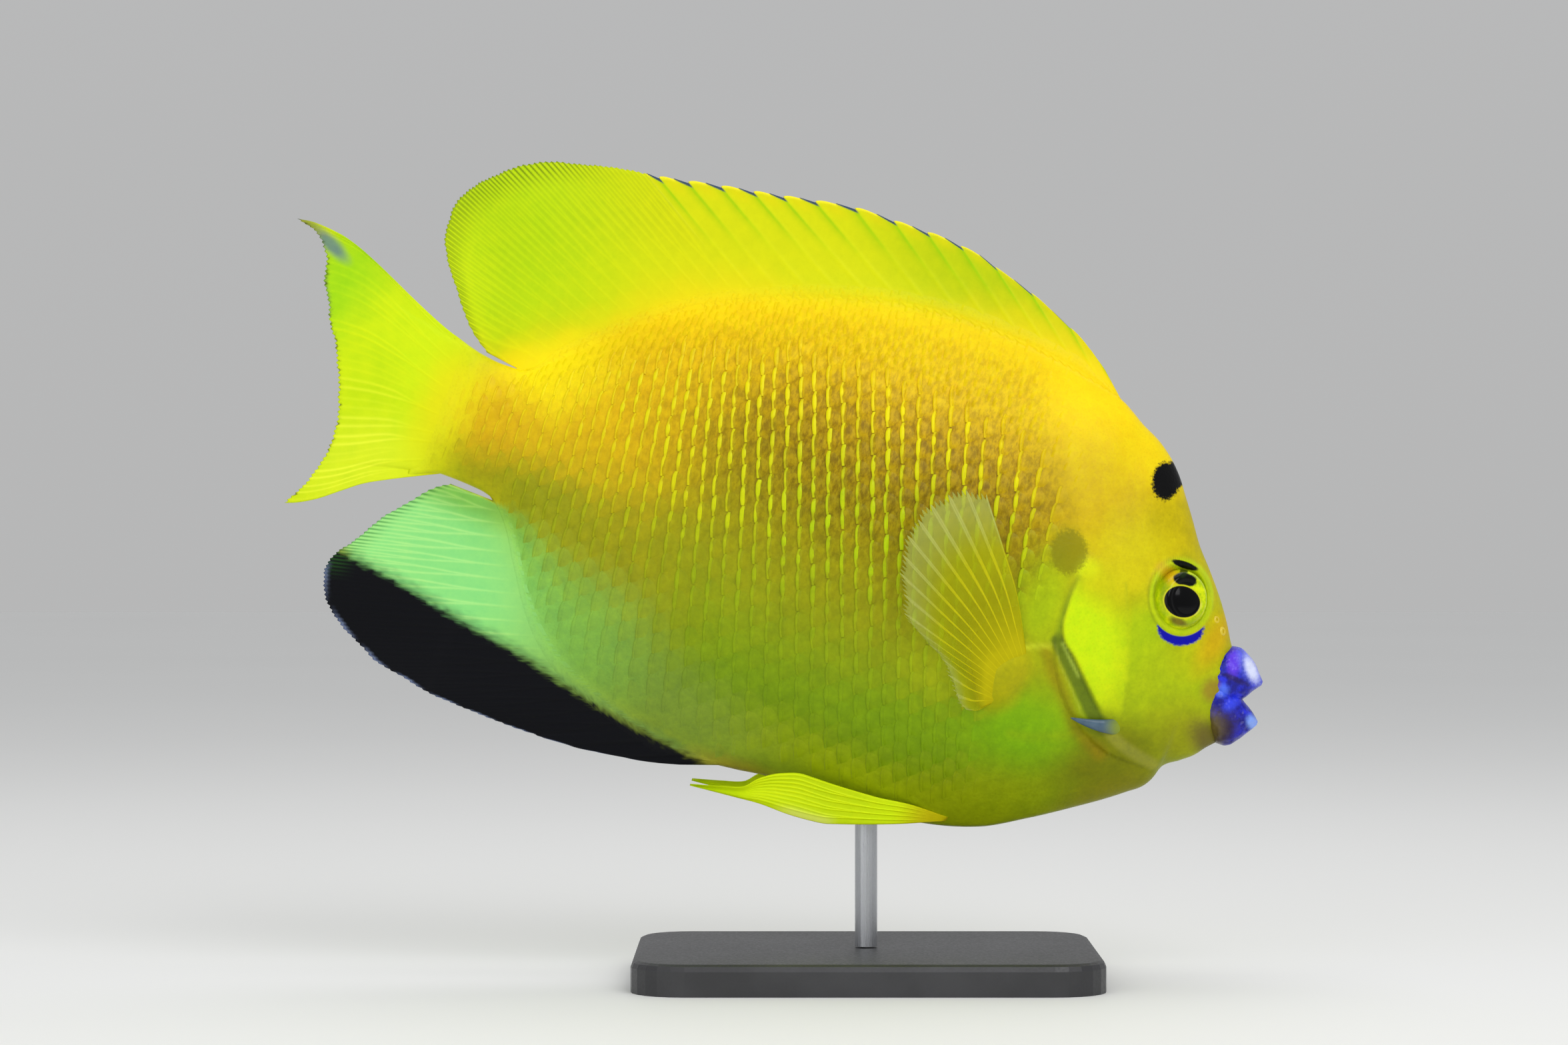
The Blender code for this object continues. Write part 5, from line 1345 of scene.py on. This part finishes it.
def on_flank(roots):
    s, h = roots[:, 0], roots[:, 1]
    clear = (inset(s, h) > np.where(s > 104, 3.0, 6.0)) & (back(s) - h > 2.5)
    return (h < scale_top(s)) & (s > gill_side(h)) & (s < COAT_END - 1) & clear


def on_back(roots):
    s, h = roots[:, 0], roots[:, 1]
    return (h >= scale_top(s) - 1.5) & (s > gill_side(h) - 4) & (h < back(s) + 3.0) & (s < 182)


def build_coat():
    flank = lattice(column_pitch, ROW_PITCH, **FLANK_LATTICE)
    flank = flank[on_flank(flank)]
    small = lattice(back_pitch, BACK_ROW, **BACK_LATTICE)
    small = small[on_back(small)]
    small[:, 2] -= 0.25
    plates, shine = plate_template()
    rims, rim_shine = rim_shapes(len(flank), RIM_SEED)
    little, little_shine = plate_template(4, 5)
    for side, name in SIDES:
        coat("scales_" + name, flank, ROW_PITCH, plates, shine, side)
        coat("scale_rims_" + name, flank, ROW_PITCH, rims, rim_shine, side)
        coat("back_scales_" + name, small, BACK_ROW, little, little_shine, side)


# Head: lips, eyes, nostrils and cheek spines

def make_lip_finish():
    made, wiring, shader = material("lips", 0.34, coat=0.2, coat_roughness=0.15, specular=0.2)
    side = wiring.group(FISH_AXES)
    cloud = wiring.noise(420.0, 4.0, 0.65)
    colour = wiring.mix(wiring.spread(cloud, 0.35, 0.7), colour_of(10, 14, 138), colour_of(38, 48, 220))
    # the lip's marks, with a painted highlight on the front of the upper lip
    colour = marked(wiring, side, colour, LIP_COLOURS_AND_HIGHLIGHT)
    wiring.links.new(colour, shader.inputs["Base Color"])
    bump(wiring, shader, wiring.noise(700.0, 4.0, 0.6), 0.5, 0.0004)
    return made


def build_lip(name, keys, finish, replaced):
    """A lip as a rounded, slightly lumpy form between its upper and lower edges."""
    upper, lower, half = (profile([(key[0], key[column]) for key in keys]) for column in (1, 2, 3))
    even = np.linspace(0, 1, 56)
    stations = keys[-1][0] + (keys[0][0] - keys[-1][0]) * even ** 1.4
    angle = np.linspace(0, math.pi, 44)
    s = np.repeat(stations[:, None], len(angle), axis=1)
    middle = (upper(stations) + lower(stations))[:, None] / 2
    reach = (upper(stations) - lower(stations))[:, None] / 2
    h = middle - reach * np.cos(angle)[None, :]
    side = half(stations)[:, None] * (1 - np.abs(np.cos(angle))[None, :] ** 3.0) ** (1 / 2.4)
    lump = 0.22 * ripple(s, h, 3.4) + 0.12 * ripple(s, h, 1.7, 0.6)
    side = np.maximum(side + lump * ramp(side, 0.2, 1.5), 0) * (np.sin(angle) > 1e-6)[None, :]
    side[[0, -1]] = 0
    made = sheet(name, s, h, -side, side, finish)
    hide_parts(replaced)


def surface_frame(s, h, side, sink, step=1.5):
    """A frame on the body's side: z out along its normal, x back and y up along it."""
    def width(at_s, at_h):
        return float(half_width(np.array([at_s]), np.array([at_h]), detail=False)[0])

    lean_s = (width(s + step, h) - width(s - step, h)) / (2 * step)
    lean_h = (width(s, h + step) - width(s, h - step)) / (2 * step)
    back_way, up_way = Vector((-COS, 0, SIN)), Vector((SIN, 0, COS))
    out = (Vector((0, side, 0)) - back_way * lean_s - up_way * lean_h).normalized()
    rearward = (back_way - out * back_way.dot(out)).normalized()
    upward = out.cross(rearward)
    if upward.dot(up_way) < 0:
        upward.negate()
    made = Matrix.Identity(4)
    for column, axis in enumerate((rearward, upward, out)):
        made.col[column][:3] = axis
    made.translation = Vector(fish_place(s, h, side * width(s, h))) - out * sink * MM
    return made


def make_eye_finish():
    made, wiring, shader = material("eye", 0.12, specular=0.16)
    side = wiring.group(FISH_AXES)
    cloud = wiring.noise(700.0, 4.0, 0.6)
    colour = wiring.mix(wiring.spread(cloud, 0.35, 0.65), colour_of(176, 204, 10), colour_of(222, 234, 14))
    colour = marked(wiring, side, colour, EYE_MARKS)
    wiring.links.new(colour, shader.inputs["Base Color"])
    return made


def build_eye(side, name, finish):
    bm = spun(EYE_PROFILE, 40, 64)
    bmesh.ops.scale(bm, vec=EYE_SCALE, verts=bm.verts)
    bmesh.ops.transform(bm, matrix=surface_frame(*EYE_AT, side, 0.15), verts=bm.verts)
    bmesh.ops.recalc_face_normals(bm, faces=bm.faces)
    made = show("eyeball_" + name, take_mesh("eyeball_" + name, bm), finish)
    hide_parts("eye_" + name)


def make_spine_finish():
    made, wiring, shader = material("cheek_spine", 0.3, coat=0.2, coat_roughness=0.15, specular=0.2)
    side = wiring.group(FISH_AXES)
    cloud = wiring.noise(500.0, 3.0, 0.5)
    colour = wiring.mix(cloud, colour_of(56, 78, 98), colour_of(90, 114, 132))
    colour = marked(wiring, side, colour, SPINE_MARKS)
    wiring.links.new(colour, shader.inputs["Base Color"])
    bump(wiring, shader, cloud, 0.2, 0.0002)
    return made


def build_cheek_spine(side, name, finish):
    along = np.linspace(0, 1, 40)
    angle = np.linspace(0, math.pi, 17)
    middle_s = SPINE_ROOT[0] + (SPINE_TIP[0] - SPINE_ROOT[0]) * along
    middle_h = SPINE_ROOT[1] + (SPINE_TIP[1] - SPINE_ROOT[1]) * along - 0.5 * np.sin(math.pi * along)
    thick = 2.1 * (1 - along) ** 0.8 + 0.05
    flat = 0.55 * thick
    out = half_width(middle_s, middle_h) - 1.8 * (1 - ramp(along, 0, 0.4)) + 0.3 + 1.3 * along
    s = np.repeat(middle_s[:, None], len(angle), axis=1)
    h = middle_h[:, None] - thick[:, None] * np.cos(angle)[None, :]
    bulge = flat[:, None] * np.sin(angle)[None, :]
    bulge[[0, -1]] = 0
    right, left = two_faces(out[:, None], bulge, side)
    made = sheet("spine_" + name, s, h, right, left, finish)
    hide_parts("cheek_spine_" + name)


def build_nostrils(finish):
    """Two low tubes on each side of the snout."""
    bm = bmesh.new()
    for side, _ in SIDES:
        for s, h, radius in NOSTRILS:
            part = spun([(radius * share, height) for share, height in NOSTRIL_PROFILE], 15, 20)
            bmesh.ops.transform(part, matrix=surface_frame(s, h, side, 0.1), verts=part.verts)
            bmesh.ops.recalc_face_normals(part, faces=part.faces)
            join(bm, take_mesh("nostril", part))
    show("nostrils", take_mesh("nostrils", bm), finish)


def make_nostril_finish():
    made, wiring, shader = material("nostrils", 0.4, coat=0.3)
    cloud = wiring.noise(900.0, 3.0, 0.5)
    colour = wiring.mix(cloud, colour_of(206, 180, 20), colour_of(230, 206, 30))
    wiring.links.new(colour, shader.inputs["Base Color"])
    return made


# The stand

def make_stand_finish():
    made, wiring, shader = material("stand_lacquer", 0.45, coat=0.15, coat_roughness=0.35)
    grain = wiring.noise(1800.0, 4.0, 0.6)
    wear = wiring.noise(60.0, 3.0, 0.5)
    colour = wiring.mix(wiring.spread(wear, 0.3, 0.75), colour_of(38, 38, 41), colour_of(52, 52, 55))
    wiring.links.new(colour, shader.inputs["Base Color"])
    wiring.links.new(wiring.spread(grain, 0.3, 0.7, 0.4, 0.55), shader.inputs["Roughness"])
    bump(wiring, shader, grain, 0.25, 0.00008)
    return made


def make_rod_finish():
    made, wiring, shader = material("brushed_steel", 0.32, metallic=1.0)
    stretched = wiring.add("ShaderNodeMapping", Vector=wiring.place(), Scale=(1.0, 1.0, 0.04))
    lines = wiring.noise(5200.0, 3.0, 0.6, stretched.outputs[0])
    colour = wiring.mix(lines, colour_of(150, 152, 156), colour_of(196, 198, 202))
    wiring.links.new(colour, shader.inputs["Base Color"])
    wiring.links.new(wiring.spread(lines, 0.3, 0.7, 0.25, 0.42), shader.inputs["Roughness"])
    bump(wiring, shader, lines, 0.12, 0.00004)
    return made


def dress_stand():
    for name, finish in (("stand_base", make_stand_finish()), ("stand_rod", make_rod_finish())):
        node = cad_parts[name]
        node.data.materials.clear()
        node.data.materials.append(finish)


# Studio

def build_studio():
    bm = bmesh.new()
    bmesh.ops.create_grid(bm, x_segments=2, y_segments=2, size=FLOOR_HALF)
    mesh = take_mesh("floor", bm)
    floor_finish, wiring, shader = material("pale_floor", 0.6)
    cloud = wiring.noise(2.0, 2.0, 0.5)
    colour = wiring.mix(cloud, colour_of(240, 240, 238), colour_of(244, 244, 242))
    wiring.links.new(colour, shader.inputs["Base Color"])
    mesh.materials.append(floor_finish)
    floor = add_object("floor", mesh)
    world = bpy.data.worlds.new("studio")
    world.use_nodes = True
    sky = Wiring(world.node_tree)
    direction = sky.add("ShaderNodeSeparateXYZ", Vector=sky.add("ShaderNodeTexCoord").outputs["Generated"])
    height = sky.spread(direction.outputs["Z"], 0.0, 0.5)
    pale = sky.mix(height, (0.945, 0.948, 0.95, 1), (1.06, 1.07, 1.09, 1))
    sky.links.new(pale, world.node_tree.nodes["Background"].inputs["Color"])
    world.node_tree.nodes["Background"].inputs["Strength"].default_value = 0.5
    bpy.context.scene.world = world
    for name, at, size, power in LIGHTS:
        data = bpy.data.lights.new(name, "AREA")
        data.size = size
        data.energy = power
        lamp = add_object(name, data)
        lamp.location = at
        lamp.rotation_euler = (Vector(LIGHTS_AIM) - Vector(at)).to_track_quat("-Z", "Y").to_euler()


def build_camera():
    """The camera stands where the photograph's did."""
    data = bpy.data.cameras.new("camera")
    data.lens = LENS
    data.sensor_width = SENSOR_WIDTH
    data.clip_start = 0.05
    data.clip_end = 20.0
    camera = add_object("camera", data)
    camera.location = (VIEW_X * MM, -VIEW_AWAY * MM, VIEW_Z * MM)
    camera.rotation_euler = (math.radians(90), 0, 0)
    bpy.context.scene.camera = camera


build_skin()
median_fin(
    "dorsal", back, DORSAL_MARGIN, DORSAL_RAYS, DORSAL_SPINES, "dorsal_fin", tinted_dorsal,
)
median_fin(
    "anal", belly, ANAL_MARGIN, ANAL_RAYS, ANAL_SPINES, "anal_fin", tinted_anal, notch=0.4,
)
build_caudal_fin()
eye_finish = make_eye_finish()
spine_finish = make_spine_finish()
for side, name in SIDES:
    build_pectoral_fin(side, name)
    build_pelvic_fin(side, name)
    build_eye(side, name, eye_finish)
    build_cheek_spine(side, name, spine_finish)
build_coat()
lip_finish = make_lip_finish()
build_lip("lip_upper", UPPER_LIP, lip_finish, "upper_lip")
build_lip("jaw_lower", LOWER_JAW, lip_finish, "lower_jaw")
build_nostrils(make_nostril_finish())
dress_stand()
build_studio()
build_camera()
bpy.context.scene.view_settings.view_transform = "Standard"
